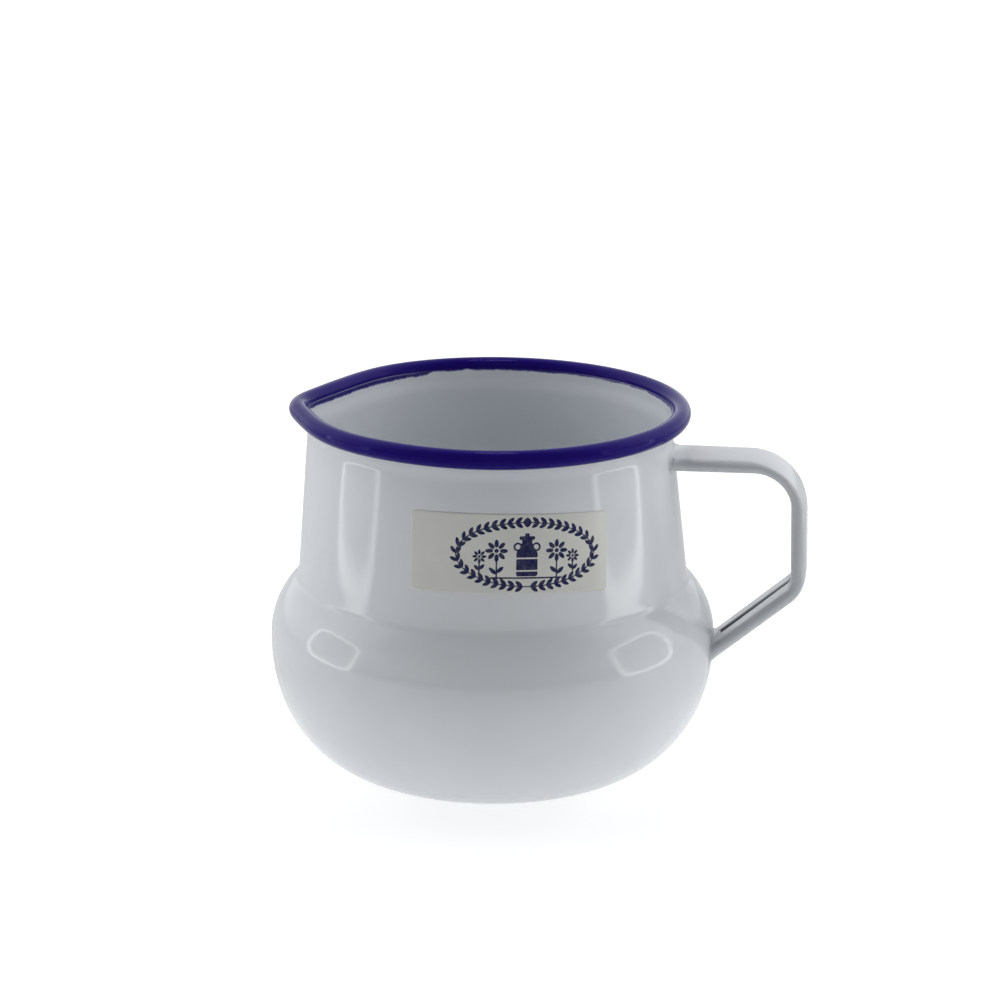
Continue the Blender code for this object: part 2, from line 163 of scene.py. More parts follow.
PETAL_MIDDLE = 0.66            # this and the next three are shares of the daisy's radius
PETAL_LONG = 0.36
PETAL_WIDE = 0.19
DAISY_EYE = 0.19
GARLAND_WIDE = 19.2
GARLAND_TALL = 8.7
GARLAND_STEM = 0.17
GARLAND_PAIRS = 21
GARLAND_LEAN = 0.62            # angle between a leaf and the stem
GARLAND_LEAF = (2.5, 1.05)     # length and width
GARLAND_TRACK_STEPS = 400
GARLAND_LEAST_SLOPE = 1e-4
NO_INK = 5.0                   # the sticker's back is this far from any ink

# Light that the blue glass gives back from inside tints its glints.
BLUE_GLINT = (0.42, 0.30, 1.0)

NO_TRIANGLES = np.empty((0, 3), int)
TINY = 1e-9                    # keeps the middle of the base from dividing by nothing


# ---- What a user may change -------------------------------------------------------------------
def length(name, description, default):
    return FloatProperty(name=name, description=description, default=default, min=0.0,
                         subtype='DISTANCE', unit='LENGTH', precision=5)


def angle(name, description, degrees):
    return FloatProperty(name=name, description=description, default=math.radians(degrees),
                         subtype='ANGLE', unit='ROTATION')


def colour(name, description, default):
    return FloatVectorProperty(name=name, description=description, default=default, size=3,
                               min=0.0, max=1.0, subtype='COLOR')


class JugSizes(bpy.types.PropertyGroup):
    """Sizes of the jug's surfaces, all in metres and radians."""
    height: length("Height", "Base to the top of the rolled rim", 106.5 * MM)
    mouth_radius: length("Mouth radius", "Inside of the rolled rim", 49.75 * MM)
    wall: length("Wall", "Steel with its enamel on both sides", 0.9 * MM)
    rim_radius: length("Rim thickness", "Radius of the rolled rim's outside", 2.65 * MM)
    neck_top: length("Neck radius", "Outside of the neck's cone under the rim", 49.7 * MM)
    neck_taper: angle("Neck taper", "The neck widens downwards by this angle", 7.2)
    mouth_flare: length("Mouth flare", "Height over which the neck flares to the rim", 5.0 * MM)
    belly_radius: length("Belly radius", "Widest point of the belly", 63.3 * MM)
    belly_height: length("Belly height", "Height of the widest point", 39.1 * MM)
    shoulder_arc: length("Shoulder", "Arc from the widest point up to the neck", 22.2 * MM)
    hollow_arc: length("Hollow", "Hollow where the shoulder meets the neck", 3.0 * MM)
    base_radius: length("Base radius", "Flat that the jug stands on", 30.3 * MM)
    base_recess: length("Base recess", "How far the middle of the base stands up", 0.35 * MM)
    fullness: FloatProperty(name="Fullness", default=2.15, min=1.5, max=4.0,
                            description="2 is an ellipse from belly to base, more is fuller")
    lip_reach: length("Lip reach", "How far the rim is pushed out at the lip", 2.6 * MM)
    lip_rise: length("Lip rise", "How far the lip stands above the rim", 0.2 * MM)
    lip_azimuth: angle("Lip direction", "Where the lip points, seen from above", -176.0)
    lip_half: angle("Lip half angle", "How wide the lip is", 11.5)


class HandleSizes(bpy.types.PropertyGroup):
    """Sizes of the handle and of the welds that hold it."""
    width: length("Width", "Width of the flattened tube", 18.0 * MM)
    thickness: length("Thickness", "Thickness of its two legs", 3.6 * MM)
    grip: length("Grip thickness", "Thickness of its upright", 4.2 * MM)
    sheet: length("Sheet", "Strip that the tube is rolled from", 0.8 * MM)
    crown: length("Crown", "How far the wide faces bulge", 0.18 * MM)
    seam: length("Seam", "Open seam on the hand's side", 1.3 * MM)
    seam_low: length("Seam at the foot", "The seam where it opens at the belly", 3.4 * MM)
    drop: length("Drop", "Top of the rim to the handle's top", 12.7 * MM)
    finger_gap: length("Finger gap", "Belly to the inside of the upright", 21.6 * MM)
    foot_height: length("Foot height", "Where the lower leg meets the belly", 37.2 * MM)
    lean: length("Lean", "The top of the upright leans in by this", 0.8 * MM)
    leg_angle: angle("Leg angle", "Slope of the lower leg", 39.8)
    upper_outside: length("Upper bend outside", "Bend radius", 17.0 * MM)
    upper_inside: length("Upper bend inside", "Bend radius", 10.0 * MM)
    lower_outside: length("Lower bend outside", "Bend radius", 11.5 * MM)
    lower_inside: length("Lower bend inside", "Bend radius", 3.0 * MM)
    weld: length("Weld", "How far a weld spreads on the wall", 1.5 * MM)


class StickerSizes(bpy.types.PropertyGroup):
    """Size and place of the sticker."""
    width: length("Width", "Along the neck", 55.7 * MM)
    height: length("Height", "Up the neck", 21.8 * MM)
    thickness: length("Thickness", "Paper and its gum", 0.14 * MM)
    corner: length("Corner", "Corner radius", 1.5 * MM)
    azimuth: angle("Direction", "Where its middle faces, seen from above", -77.6)
    place: FloatProperty(name="Place", description="Height as a share of the neck",
                         default=0.4636, min=0.0, max=1.0, subtype='FACTOR')
    tilt: angle("Tilt", "It was stuck on a little askew", -1.4)


class JugColours(bpy.types.PropertyGroup):
    """Colours of the enamels, the sticker and its ink."""
    white: colour("White enamel", "Pot and handle", (0.780, 0.803, 0.828))
    white_cool: colour("White enamel, thin", "Where the ground coat shows", (0.725, 0.755, 0.790))
    # The handle's white and its thin white are the pot's enamel painted darker: painted shade on
    # the handle and its welds, laid over the clouds of thinner coat.
    handle: colour("Handle enamel", "A thinner white coat", (0.630, 0.648, 0.672))
    handle_cool_shaded: colour("Handle enamel, thin", "Where its ground coat shows", (0.565, 0.588, 0.618))
    blue: colour("Blue enamel", "Rolled rim", (0.0135, 0.0050, 0.160))
    blue_thin: colour("Blue enamel, thin", "Its feathered edge", (0.130, 0.105, 0.380))
    ground: colour("Ground coat", "Pinholes and firing marks", (0.030, 0.032, 0.040))
    paper: colour("Sticker", "Satin silver-grey paper", (0.780, 0.780, 0.735))
    ink: colour("Ink", "Print on the sticker", (0.003, 0.006, 0.075))
    floor: colour("Floor", "Plain pale floor", (0.780, 0.780, 0.780))


# ---- Mesh tools -------------------------------------------------------------------------------
def smooth_step(value):
    """0 below 0, 1 above 1 and 3t^2 - 2t^3 between."""
    t = np.clip(value, 0.0, 1.0)
    return t * t * (3.0 - 2.0 * t)


def bell(value, middle, spread):
    """exp(-((value - middle) / spread)^2)"""
    return np.exp(-(((value - middle) / spread) ** 2))


def waver(u, rows):
    """The sum of height sin(waves u + phase) over the rows."""
    return sum(height * np.sin(waves * u + phase) for height, waves, phase in rows)


def from_direction(turn, direction):
    """The angle from a direction to a turn round the axis, between minus and plus half a turn."""
    return (turn - direction + math.pi) % (2 * math.pi) - math.pi


def put_mesh(name, points, quads, triangles=NO_TRIANGLES):
    """A smooth-shaded closed mesh object. If its signed volume is negative, it is turned."""
    corners = points[np.concatenate([quads[:, [0, 1, 2]], quads[:, [0, 2, 3]], triangles])]
    volume = np.einsum('ij,ij->i', corners[:, 0], np.cross(corners[:, 1], corners[:, 2])).sum()
    if volume < 0.0:
        quads, triangles = quads[:, ::-1], triangles[:, ::-1]
    loops = np.concatenate([quads.reshape(-1), triangles.reshape(-1)]).astype(np.int32)
    sizes = np.repeat([4, 3], [len(quads), len(triangles)]).astype(np.int32)
    mesh = bpy.data.meshes.new(name)
    mesh.vertices.add(len(points))
    mesh.vertices.foreach_set("co", points.astype(np.float32).ravel())
    mesh.loops.add(len(loops))
    mesh.loops.foreach_set("vertex_index", loops)
    mesh.polygons.add(len(sizes))
    mesh.polygons.foreach_set("loop_start", np.concatenate([[0], np.cumsum(sizes)[:-1]]))
    mesh.polygons.foreach_set("loop_total", sizes)
    mesh.update(calc_edges=True)
    mesh.validate()
    mesh.shade_smooth()
    made = bpy.data.objects.new(name, mesh)
    bpy.context.scene.collection.objects.link(made)
    return made


def grid_quads(rows, columns, wrap_rows, wrap_columns, first=0):
    """Corner numbers of the quads between neighbours of a grid, closed round where it wraps."""
    i = np.arange(rows if wrap_rows else rows - 1)
    j = np.arange(columns if wrap_columns else columns - 1)
    i, j = np.meshgrid(i, j, indexing='ij')
    down = (i + 1) % rows
    along = (j + 1) % columns
    quads = np.stack([i * columns + j, down * columns + j, down * columns + along,
                      i * columns + along], -1)
    return quads.reshape(-1, 4) + first


def turned_points(profile, steps):
    """(r cos t, r sin t, z) for every row of the profile and every angle t round the axis."""
    turn = np.arange(steps) * (2.0 * math.pi / steps)
    r, z = profile[:, :1], profile[:, 1:]
    return np.stack([r * np.cos(turn), r * np.sin(turn), np.broadcast_to(z, (len(r), steps))], -1)


def give_attribute(item, name, values):
    layer = item.data.attributes.new(name, 'FLOAT', 'POINT')
    layer.data.foreach_set("value", values.astype(np.float32).ravel())


def finish_piece(item, finish, slot_name, *nodes):
    """Material, the body it rides on, and the solids that it stands for. The record slot is not
    used.
    """
    item.data.materials.append(finish)
    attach(item, BODY)
    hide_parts(*nodes)


# ---- The pot's shape --------------------------------------------------------------------------
def ring_height(s):
    return s.height - s.rim_radius


def underside(s):
    return s.height - 2.0 * s.rim_radius


def neck_radius(s, z):
    """The neck's outside: a cone that widens downwards by its taper."""
    return s.neck_top + (underside(s) - z) * math.tan(s.neck_taper)


def hollow_centre(s):
    """Centre of the hollow that touches the neck's cone and the shoulder's arc from outside."""
    normal = np.array([math.cos(s.neck_taper), math.sin(s.neck_taper)])
    along = np.array([-math.sin(s.neck_taper), math.cos(s.neck_taper)])
    start = np.array([neck_radius(s, s.belly_height), s.belly_height]) + s.hollow_arc * normal
    offset = start - np.array([s.belly_radius - s.shoulder_arc, s.belly_height])
    half = offset @ along
    reach = s.shoulder_arc + s.hollow_arc
    return start + (math.sqrt(half ** 2 - offset @ offset + reach ** 2) - half) * along


def arc(centre, radius, start, end, steps):
    """centre + radius (cos t, sin t) for t from start to end."""
    t = np.linspace(start, end, steps + 1)
    return np.stack([centre[0] + radius * np.cos(t), centre[1] + radius * np.sin(t)], -1)


def outer_profile(s):
    """(r, z) of the outside from the rim down: a straight flare under the rim, the neck's cone,
    the hollow's arc, the shoulder's arc, a superellipse down to the base, and a base that stands
    up a little in its middle."""
    hollow = hollow_centre(s)
    shoulder_r = s.belly_radius - s.shoulder_arc
    meet = math.atan2(hollow[1] - s.belly_height, hollow[0] - shoulder_r)
    top = underside(s)
    z = np.linspace(ring_height(s), top - s.mouth_flare, FLARE_ROWS)[:-1]
    share = smooth_step((z - top + s.mouth_flare) / s.mouth_flare)
    flare = neck_radius(s, z) + (s.mouth_radius + s.wall - neck_radius(s, z)) * share
    bend = arc(hollow, s.hollow_arc, math.pi + s.neck_taper, math.pi + meet, HOLLOW_STEPS)
    cone_z = np.linspace(top - s.mouth_flare, bend[0, 1], CONE_ROWS)[:-1]
    cone = np.stack([neck_radius(s, cone_z), cone_z], -1)
    middle = (shoulder_r, s.belly_height)
    shoulder = arc(middle, s.shoulder_arc, meet, 0.0, SHOULDER_STEPS)[1:]
    turn = np.linspace(0.0, math.pi / 2, LOWER_ROWS)[1:]
    power = 2.0 / s.fullness
    lower_r = s.base_radius + (s.belly_radius - s.base_radius) * np.cos(turn).clip(0.0) ** power
    lower = np.stack([lower_r, s.belly_height * (1.0 - np.sin(turn) ** power)], -1)
    base_r = np.linspace(s.base_radius, 0.0, BASE_ROWS)[1:]
    base_z = s.base_recess * smooth_step((s.base_radius - RECESS_INSIDE - base_r) / RECESS_WIDTH)
    base = np.stack([base_r, base_z], -1)
    return np.concatenate([np.stack([flare, z], -1), cone, bend, shoulder, lower, base])


def set_inwards(profile, distance):
    """The profile moved by a distance along its normal, the tangent turned a quarter."""
    tangent = np.gradient(profile, axis=0)
    tangent /= np.linalg.norm(tangent, axis=1, keepdims=True)
    moved = profile + distance * np.stack([tangent[:, 1], -tangent[:, 0]], -1)
    moved[-1, 0] = 0.0
    moved[0] = (profile[0, 0] - distance, profile[0, 1])
    return moved


def rim_shift(s, turn):
    """How far the rim stands out at an angle round the jug: a bell at the lip times its reach,
    less one bell for each place that it is drawn in. The lip's own bell comes second."""
    from_tip = from_direction(turn, s.lip_azimuth)
    push = bell(from_tip, 0.0, s.lip_half)
    outward = s.lip_reach * push
    for place, spread, depth in RIM_DRAWS:
        outward = outward - depth * bell(from_direction(from_tip, place), 0.0, spread)
    return outward, push


def lip_share(s, z):
    """The rim's shift fades evenly down the neck to nothing at the hollow."""
    foot = hollow_centre(s)[1]
    return np.clip((z - foot) / (underside(s) - foot), 0.0, 1.0)


def pour_lip(s, points):
    """Each point moves out along its radius by the rim's shift times its share."""
    x, y, z = points[..., 0], points[..., 1], points[..., 2]
    outward, push = rim_shift(s, np.arctan2(y, x))
    share = lip_share(s, z)
    scale = 1.0 + outward * share / np.hypot(x, y).clip(TINY)
    return np.stack([x * scale, y * scale, z + s.lip_rise * share * push], -1)


def wall_radius(s, z, turn=0.0):
    """Outside radius of the finished pot at a height and an angle."""
    profile = outer_profile(s)[::-1]
    side = profile[profile[:, 0] >= s.base_radius]
    outward, _ = rim_shift(s, np.asarray(turn))
    return np.interp(z, side[:, 1], side[:, 0]) + outward * lip_share(s, z)


def blue_edge(s, turn):
    """Height at which the blue enamel ends on the inner wall. It was brushed on by hand: it hangs
    lower beside the lip as far as a step in the brush stroke, and it wavers everywhere."""
    from_tip = from_direction(turn, s.lip_azimuth)
    lower = smooth_step((from_tip - BLUE_FROM[0]) / BLUE_FROM[1])
    lower = lower * smooth_step((BLUE_TO[0] - from_tip) / BLUE_TO[1])
    place, spread, depth = BLUE_NICK
    hang = BLUE_HANG + BLUE_LOWER * lower - depth * bell(from_tip, place, spread)
    return ring_height(s) - hang - waver(turn, BLUE_WAVER)


# ---- The rolled rim's shape -------------------------------------------------------------------
def curl_section(s):
    """Closed section of the curl: the outside arc over and under, half a round at its raw end,
    and the inside arc back."""
    centre = np.array([s.mouth_radius + s.rim_radius, ring_height(s)])
    outside = arc(centre, s.rim_radius, CURL_START, CURL_END, CURL_STEPS)
    middle = s.rim_radius - s.wall / 2
    end = centre + middle * np.array([math.cos(CURL_END), math.sin(CURL_END)])
    cap = arc(end, s.wall / 2, CURL_END, CURL_END - math.pi, CURL_EDGE_STEPS)[1:-1]
    inside = arc(centre, s.rim_radius - s.wall, CURL_END, CURL_START, CURL_INSIDE_STEPS)
    return np.concatenate([outside, cap, inside])


# ---- The handle's shape -----------------------------------------------------------------------
def rounded_corner(before, corner, after, radius, steps):
    """An arc of one radius in the corner between two straight lines."""
    to_before = (before - corner) / np.linalg.norm(before - corner)
    to_after = (after - corner) / np.linalg.norm(after - corner)
    half = math.acos(float(to_before @ to_after)) / 2
    bisector = (to_before + to_after) / np.linalg.norm(to_before + to_after)
    centre = corner + bisector * radius / math.sin(half)
    first = corner + to_before * radius / math.tan(half) - centre
    second = corner + to_after * radius / math.tan(half) - centre
    start = math.atan2(first[1], first[0])
    sweep = (math.atan2(second[1], second[0]) - start + math.pi) % (2 * math.pi) - math.pi
    return arc(centre, radius, start, start + sweep, steps)


# Direction of the upper leg towards the pot, as (x, z).
LEVEL = np.array([-1.0, 0.0])


def leg_way(h):
    """Direction of the lower leg, down towards the belly, as (x, z)."""
    return np.array([-math.cos(h.leg_angle), -math.sin(h.leg_angle)])


def handle_reach(s, h):
    return s.belly_radius + h.finger_gap + h.grip


def handle_foot(s, h):
    """Corner of the handle's middle line at the bottom of its upright."""
    reach = handle_reach(s, h) - h.grip / 2
    rise = (reach - float(wall_radius(s, h.foot_height))) * math.tan(h.leg_angle)
    return np.array([reach, h.foot_height + rise])


def face_line(s, h, top, reach, side, upper_bend, lower_bend):
    """One wide face of the handle in the XZ plane: level leg, bend, upright, bend, sloping leg."""
    way = leg_way(h)
    across = np.array([math.sin(h.leg_angle), -math.cos(h.leg_angle)]) * h.thickness / 2
    low = handle_foot(s, h) + side * across
    low = low + (reach - low[0]) / way[0] * way
    start = np.array([float(wall_radius(s, top)) + LEG_CLEAR, top])
    high = np.array([reach - h.lean, top])
    end = low + way * ((reach - s.belly_radius - LEG_CLEAR) / math.cos(h.leg_angle))
    upper = rounded_corner(start, high, low, upper_bend, UPPER_BEND_STEPS)
    lower = rounded_corner(high, low, end, lower_bend, LOWER_BEND_STEPS)
    return np.concatenate([[start], upper, lower, [end]])


def strap_loops(h, deep, seam):
    """The rolled strip's section for every thickness and seam given, as (across, outwards): its
    middle line is a flat, half a round, the other flat, half a round and a flat, set out and in
    by half the sheet, with half a round at both raw edges. The flats are crowned."""
    deep = deep[:, None]
    seam = seam[:, None]
    half_sheet = h.sheet / 2
    rho = deep / 2 - half_sheet
    flat = h.width / 2 - deep / 2
    edge = seam / 2 + half_sheet
    t = np.linspace(0.0, 1.0, SEAM_FLAT_ROWS)[None]
    turn = np.linspace(-math.pi / 2, math.pi / 2, SIDE_ROWS)[None, 1:-1]
    far = np.linspace(1.0, 0.0, FAR_FLAT_ROWS)[None]

    def crowned(across):
        return h.crown * (1.0 - (across / flat) ** 2)

    def half(shift):
        """Right half of the loop, from the seam's edge round to the middle of the far face."""
        low = edge + (flat - edge) * t
        high = flat * far
        radius = rho + shift
        across = [low, flat + radius * np.cos(turn), high]
        outward = [-radius - crowned(low), radius * np.sin(turn), radius + crowned(high)]
        return np.concatenate(across, 1), np.concatenate(outward, 1)

    out_a, out_o = half(half_sheet)
    in_a, in_o = half(-half_sheet)
    cap = np.linspace(math.pi / 2, -math.pi / 2, RAW_EDGE_ROWS)[None, 1:-1]
    cap_a = edge - half_sheet * np.cos(cap)
    cap_o = -rho - crowned(edge) + half_sheet * np.sin(cap)
    across = [out_a, -out_a[:, -2::-1], -cap_a[:, ::-1], -in_a, in_a[:, -2::-1], cap_a]
    outward = [out_o, out_o[:, -2::-1], cap_o[:, ::-1], in_o, in_o[:, -2::-1], cap_o]
    return np.concatenate(across, 1), np.concatenate(outward, 1)


def drop_to_wall(s, points, way, depth):
    """Each point slides along a direction until it is a depth under the pot's outside, found by
    halving the interval many times for all the points at once."""
    near = np.full(points.shape[:-1], -DROP_REACH)
    far = np.full(points.shape[:-1], DROP_REACH)
    for _ in range(DROP_HALVINGS):
        middle = (near + far) / 2
        there = points + middle[..., None] * way
        radius = np.hypot(there[..., 0], there[..., 1])
        turn = np.arctan2(there[..., 1], there[..., 0])
        outside = radius > wall_radius(s, there[..., 2], turn) - depth
        near = np.where(outside, middle, near)
        far = np.where(outside, far, middle)
    return points + middle[..., None] * way


def strap_frames(s, h):
    """Middle, outward direction and thickness along the handle, with extra steps on its legs."""
    top = s.height - h.drop
    reach = handle_reach(s, h)
    outer = face_line(s, h, top, reach, 1.0, h.upper_outside, h.lower_outside)
    inner = face_line(s, h, top - h.thickness, reach - h.grip, -1.0, h.upper_inside,
                      h.lower_inside)
    share = np.arange(LEG_STEPS)[:, None] / LEG_STEPS
    outer = np.concatenate([outer[0] + share * (outer[1] - outer[0]), outer[1:-2],
                            outer[-2] + share * (outer[-1] - outer[-2]), outer[-1:]])
    inner = np.concatenate([inner[0] + share * (inner[1] - inner[0]), inner[1:-2],
                            inner[-2] + share * (inner[-1] - inner[-2]), inner[-1:]])
    deep = np.linalg.norm(outer - inner, axis=1)
    return (outer + inner) / 2, (outer - inner) / deep[:, None], deep


def in_space(middle, normal, across, outward):
    """Section coordinates placed at a point of the handle's plane: across runs along Y."""
    x = middle[:, None, 0] + normal[:, None, 0] * outward
    z = middle[:, None, 1] + normal[:, None, 1] * outward
    return np.stack([x, np.broadcast_to(across, x.shape), z], -1)


def flat_way(way):
    return np.array([way[0], 0.0, way[1]])


def weld_grid(s, h, middle, normal, deep, way, climb, crook):
    """A hollow fillet round the handle's end. Round the handle u runs along its outline, a
    stadium. Across, a parabola starts on the handle, bends at the corner and ends on the wall.
    The section then closes inside the wall and inside the handle's sheet."""
    u = np.arange(ROUND_WELD) * (2.0 * math.pi / ROUND_WELD)
    flat = h.width / 2 - deep / 2
    # A stadium by angle: the straight part is the clipped cosine, the rounds the rest.
    side = np.clip(STADIUM_SLOPE * np.cos(u) * h.width / 2, -flat, flat)
    nose = np.arctan2(np.sin(u), np.cos(u) - side / (h.width / 2))
    across = side + deep / 2 * np.cos(nose)
    outward = deep / 2 * np.sin(nose)
    spread = h.weld * (1.0 + waver(u, SPREAD_WAVER))
    lift = climb * (1.0 + waver(u, CLIMB_WAVER)) + crook * bell(u, 1.5 * math.pi, CROOK_SPREAD)
    way = flat_way(way)

    def ring(grown, depth):
        placed = in_space(middle[None], normal[None], (across + grown * np.cos(nose))[None],
                          (outward + grown * np.sin(nose))[None])[0]
        return drop_to_wall(s, placed, way, depth)

    corner = ring(0.0, 0.0)
    on_strap = corner - way * lift[:, None]
    on_wall = ring(spread, WELD_SKIN)
    v = np.linspace(0.0, 1.0, FILLET_ROWS)[:, None, None]
    fillet = (1 - v) ** 2 * on_strap + 2 * v * (1 - v) * corner + v ** 2 * on_wall
    in_wall = ring(spread - WELD_TUCK, WELD_ROOT)
    under = ring(-WELD_IN_SHEET, WELD_ROOT)
    in_sheet = ring(-WELD_IN_SHEET, 0.0) - way * (WELD_INSIDE_CLIMB * lift[:, None])
    return np.concatenate([fillet, in_wall[None], under[None], in_sheet[None]])


# ---- The sticker's shape and print ------------------------------------------------------------
def on_neck(s, k, along, up, lift):
    """A flat sheet rolled onto the neck's cone: the distance from the cone's apex gives the place
    on the slant, and the angle at the apex over the sine of the taper gives the azimuth."""
    sine, cosine = math.sin(s.neck_taper), math.cos(s.neck_taper)
    foot = hollow_centre(s)[1]
    middle = foot + k.place * (underside(s) - foot)
    apex = neck_radius(s, middle) / sine
    slant = np.hypot(apex - up, along)
    turn = k.azimuth + np.arctan2(along, apex - up) / sine
    radius = slant * sine + lift * cosine
    z = middle + (apex - slant) * cosine + lift * sine
    return pour_lip(s, np.stack([radius * np.cos(turn), radius * np.sin(turn), z], -1))


def leaf(x, y, px, py, tilt, long, wide):
    """Signed distance to a pointed leaf: the overlap of two circles, its axis at a tilt."""
    u = (x - px) * math.cos(tilt) + (y - py) * math.sin(tilt) - long / 2
    v = -(x - px) * math.sin(tilt) + (y - py) * math.cos(tilt)
    radius = (long ** 2 / 4 + wide ** 2 / 4) / wide
    return np.hypot(u, np.abs(v) + radius - wide / 2) - radius


def bar(x, y, px, py, half_x, half_y, corner):
    """Signed distance to a rounded rectangle."""
    dx = np.abs(x - px) - half_x + corner
    dy = np.abs(y - py) - half_y + corner
    return np.hypot(dx.clip(0.0), dy.clip(0.0)) + np.minimum(np.maximum(dx, dy), 0.0) - corner


def churn(x, y):
    """Signed distance to a milk churn: body, sloping shoulder, neck, lid, knob and two ears, with
    two bright hoops left out of the body."""
    bars = [bar(x, y, *sizes) for sizes in (CHURN_BODY, CHURN_NECK, CHURN_LID, CHURN_KNOB)]
    slope = np.abs(x) - np.interp(y, SLOPE_HEIGHTS, SLOPE_RADII)
    shoulder = np.maximum(slope, np.maximum(SLOPE_FROM - y, y - SLOPE_TO))
    ears = np.hypot(np.abs(x) - EAR_MIDDLE[0], y - EAR_MIDDLE[1])
    ears = np.abs(ears - EAR_RADIUS) - EAR_HALF
    solid = np.minimum.reduce([*bars, shoulder, ears])
    hoops = np.minimum.reduce([np.abs(y - height) - HOOP_HALF for height in HOOP_HEIGHTS])
    return np.maximum(solid, -hoops)


def daisy(x, y, px, py, radius):
    """Signed distance to a daisy: petals round a bright ring and a dark middle."""
    u, v = x - px, y - py
    far = np.hypot(u, v)
    wedge = 2.0 * math.pi / PETALS
    turn = (np.arctan2(v, u) + wedge / 2) % wedge - wedge / 2
    petal_u = (far * np.cos(turn) - PETAL_MIDDLE * radius) / PETAL_LONG
    petal_v = far * np.sin(turn) / PETAL_WIDE
    petals = (np.hypot(petal_u, petal_v) - radius) * PETAL_WIDE
    return np.minimum(petals, far - DAISY_EYE * radius)


def garland(x, y):
    """Signed distance to an oval garland: a thin stem on an ellipse, with a pair of leaves at
    every even step round it, all pointing the same way up from the bottom on both sides. The
    distance to the ellipse is its own equation over its slope."""
    wide, tall = GARLAND_WIDE, GARLAND_TALL
    share = np.hypot(x / wide, y / tall)
    steep = np.hypot(x / wide ** 2, y / tall ** 2).clip(GARLAND_LEAST_SLOPE)
    ink = np.abs((share - 1.0) * share / steep) - GARLAND_STEM
    fine = np.linspace(-math.pi / 2, math.pi / 2, GARLAND_TRACK_STEPS)
    track = np.hypot(np.diff(wide * np.cos(fine)), np.diff(tall * np.sin(fine))).cumsum()
    track = np.append(0.0, track) / track[-1]
    for t in np.interp((np.arange(GARLAND_PAIRS) + 0.5) / GARLAND_PAIRS, track, fine):
        px, py = wide * math.cos(t), tall * math.sin(t)
        way = math.atan2(tall * math.cos(t), -wide * math.sin(t))
        for lean in (GARLAND_LEAN, -GARLAND_LEAN):
            ink = np.minimum(ink, leaf(np.abs(x), y, px, py, way + lean, *GARLAND_LEAF))
    return ink


def print_distance(along, up):
    """Signed distance in millimetres to the sticker's print, negative where there is ink."""
    x = along / MM - PRINT_MIDDLE[0]
    y = up / MM - PRINT_MIDDLE[1]
    beside = np.abs(x)
    stems = [bar(beside, y, *sizes) for sizes in STEMS]
    leaves = [leaf(beside, y, *sizes) for sizes in LEAVES]
    flowers = [daisy(beside, y, *sizes) for sizes in DAISIES]
    ground = bar(x, y, *GROUND)
    return np.minimum.reduce([churn(x, y), ground, garland(x, y), *stems, *leaves, *flowers])


# ---- Materials --------------------------------------------------------------------------------
# How uneven the finishes are. A pair is the width of the lumps and their height, or the least and
# the most that a noise or a roughness is taken over.
SHEET_WAVES = (17.0 * MM, 0.055 * MM)
ORANGE_PEEL = (3.2 * MM, 0.006 * MM)
RIM_WAVES = (11.0 * MM, 0.10 * MM)
RIM_PEEL = (2.2 * MM, 0.008 * MM)
ENAMEL_IOR = 1.52
RIM_SPECULAR = 0.12
POT_ROUGHNESS = (0.07, 0.13)
RIM_ROUGHNESS = (0.05, 0.10)
HANDLE_ROUGHNESS = (0.08, 0.16)
ROUGHNESS_NOISE = (0.3, 0.7)

# Where the white coat is thin: in clouds and in a fine mottle.
CLOUD_SIZE = 34.0 * MM
CLOUD_NOISE = (0.35, 0.72)
CLOUD_TWIST = 0.6
CLOUD_SHARE = 0.75
MOTTLE_SIZE = 2.4 * MM
MOTTLE_NOISE = (0.3, 0.8)
MOTTLE_MOST = 0.22

# Pinholes: a cell of the pattern and the radius of a dot. Only cells above the threshold have one.
SMALL_PINHOLES = (9.0 * MM, 0.20 * MM)
LARGE_PINHOLES = (21.0 * MM, 0.34 * MM)
RIM_PINHOLES = (7.0 * MM, 0.16 * MM)
PINHOLE_CORE = 0.45
PINHOLE_THRESHOLD = (0.86, 0.88)
PINHOLE_SHARE = 0.75

# Kiln pins: their number, the circle they stood on and the turn of the first, and the radii
# between which a mark fades in.
KILN_PINS = 3
KILN_PIN_CIRCLE = 23.5 * MM
KILN_PIN_TURN = 0.4
KILN_MARK = (0.75 * MM, 0.45 * MM)

# The blue's brushed edge, in millimetres above the line where it ends.
BLUE_RAGGED_SIZE = 1.3 * MM
BLUE_RAGGED_NOISE = (0.25, 0.75)
BLUE_RAGGED_BY = 0.16
BLUE_THIN = (-0.42, 0.02)
BLUE_THIN_SHARE = 0.8
BLUE_FULL = (-0.04, 0.16)
RIM_CLOUD_SIZE = 9.0 * MM
RIM_CLOUD_NOISE = (0.42, 0.8)
RIM_CLOUD_MOST = 0.05

# The sticker's paper: its fibres, and clouds of worn paper, which is darker by this factor.
FIBRE_SIZE = 0.7 * MM
FIBRE_NOISE = (0.45, 0.85)
FIBRE_MOST = 0.25
FIBRE_HEIGHT = 0.004 * MM
WORN_SIZE = 14.0 * MM
WORN_NOISE = (0.3, 0.7)
WORN_SHADE = 0.93
PAPER_ROUGHNESS = 0.24
PAPER_SPECULAR = 0.5

# Its ink: half the width of the edge and how ragged that is, both in millimetres, and how thin
# the ink may get.
INK_EDGE = 0.05
INK_ROUGH_SIZE = 0.35 * MM
INK_ROUGH_NOISE = (0.2, 0.8)
INK_ROUGH_BY = 0.03
INK_UNEVEN_SIZE = 0.9 * MM
INK_UNEVEN_NOISE = (0.3, 0.9)
INK_LEAST = 0.88
INK_ROUGHNESS = 0.20
INK_SPECULAR = 0.15


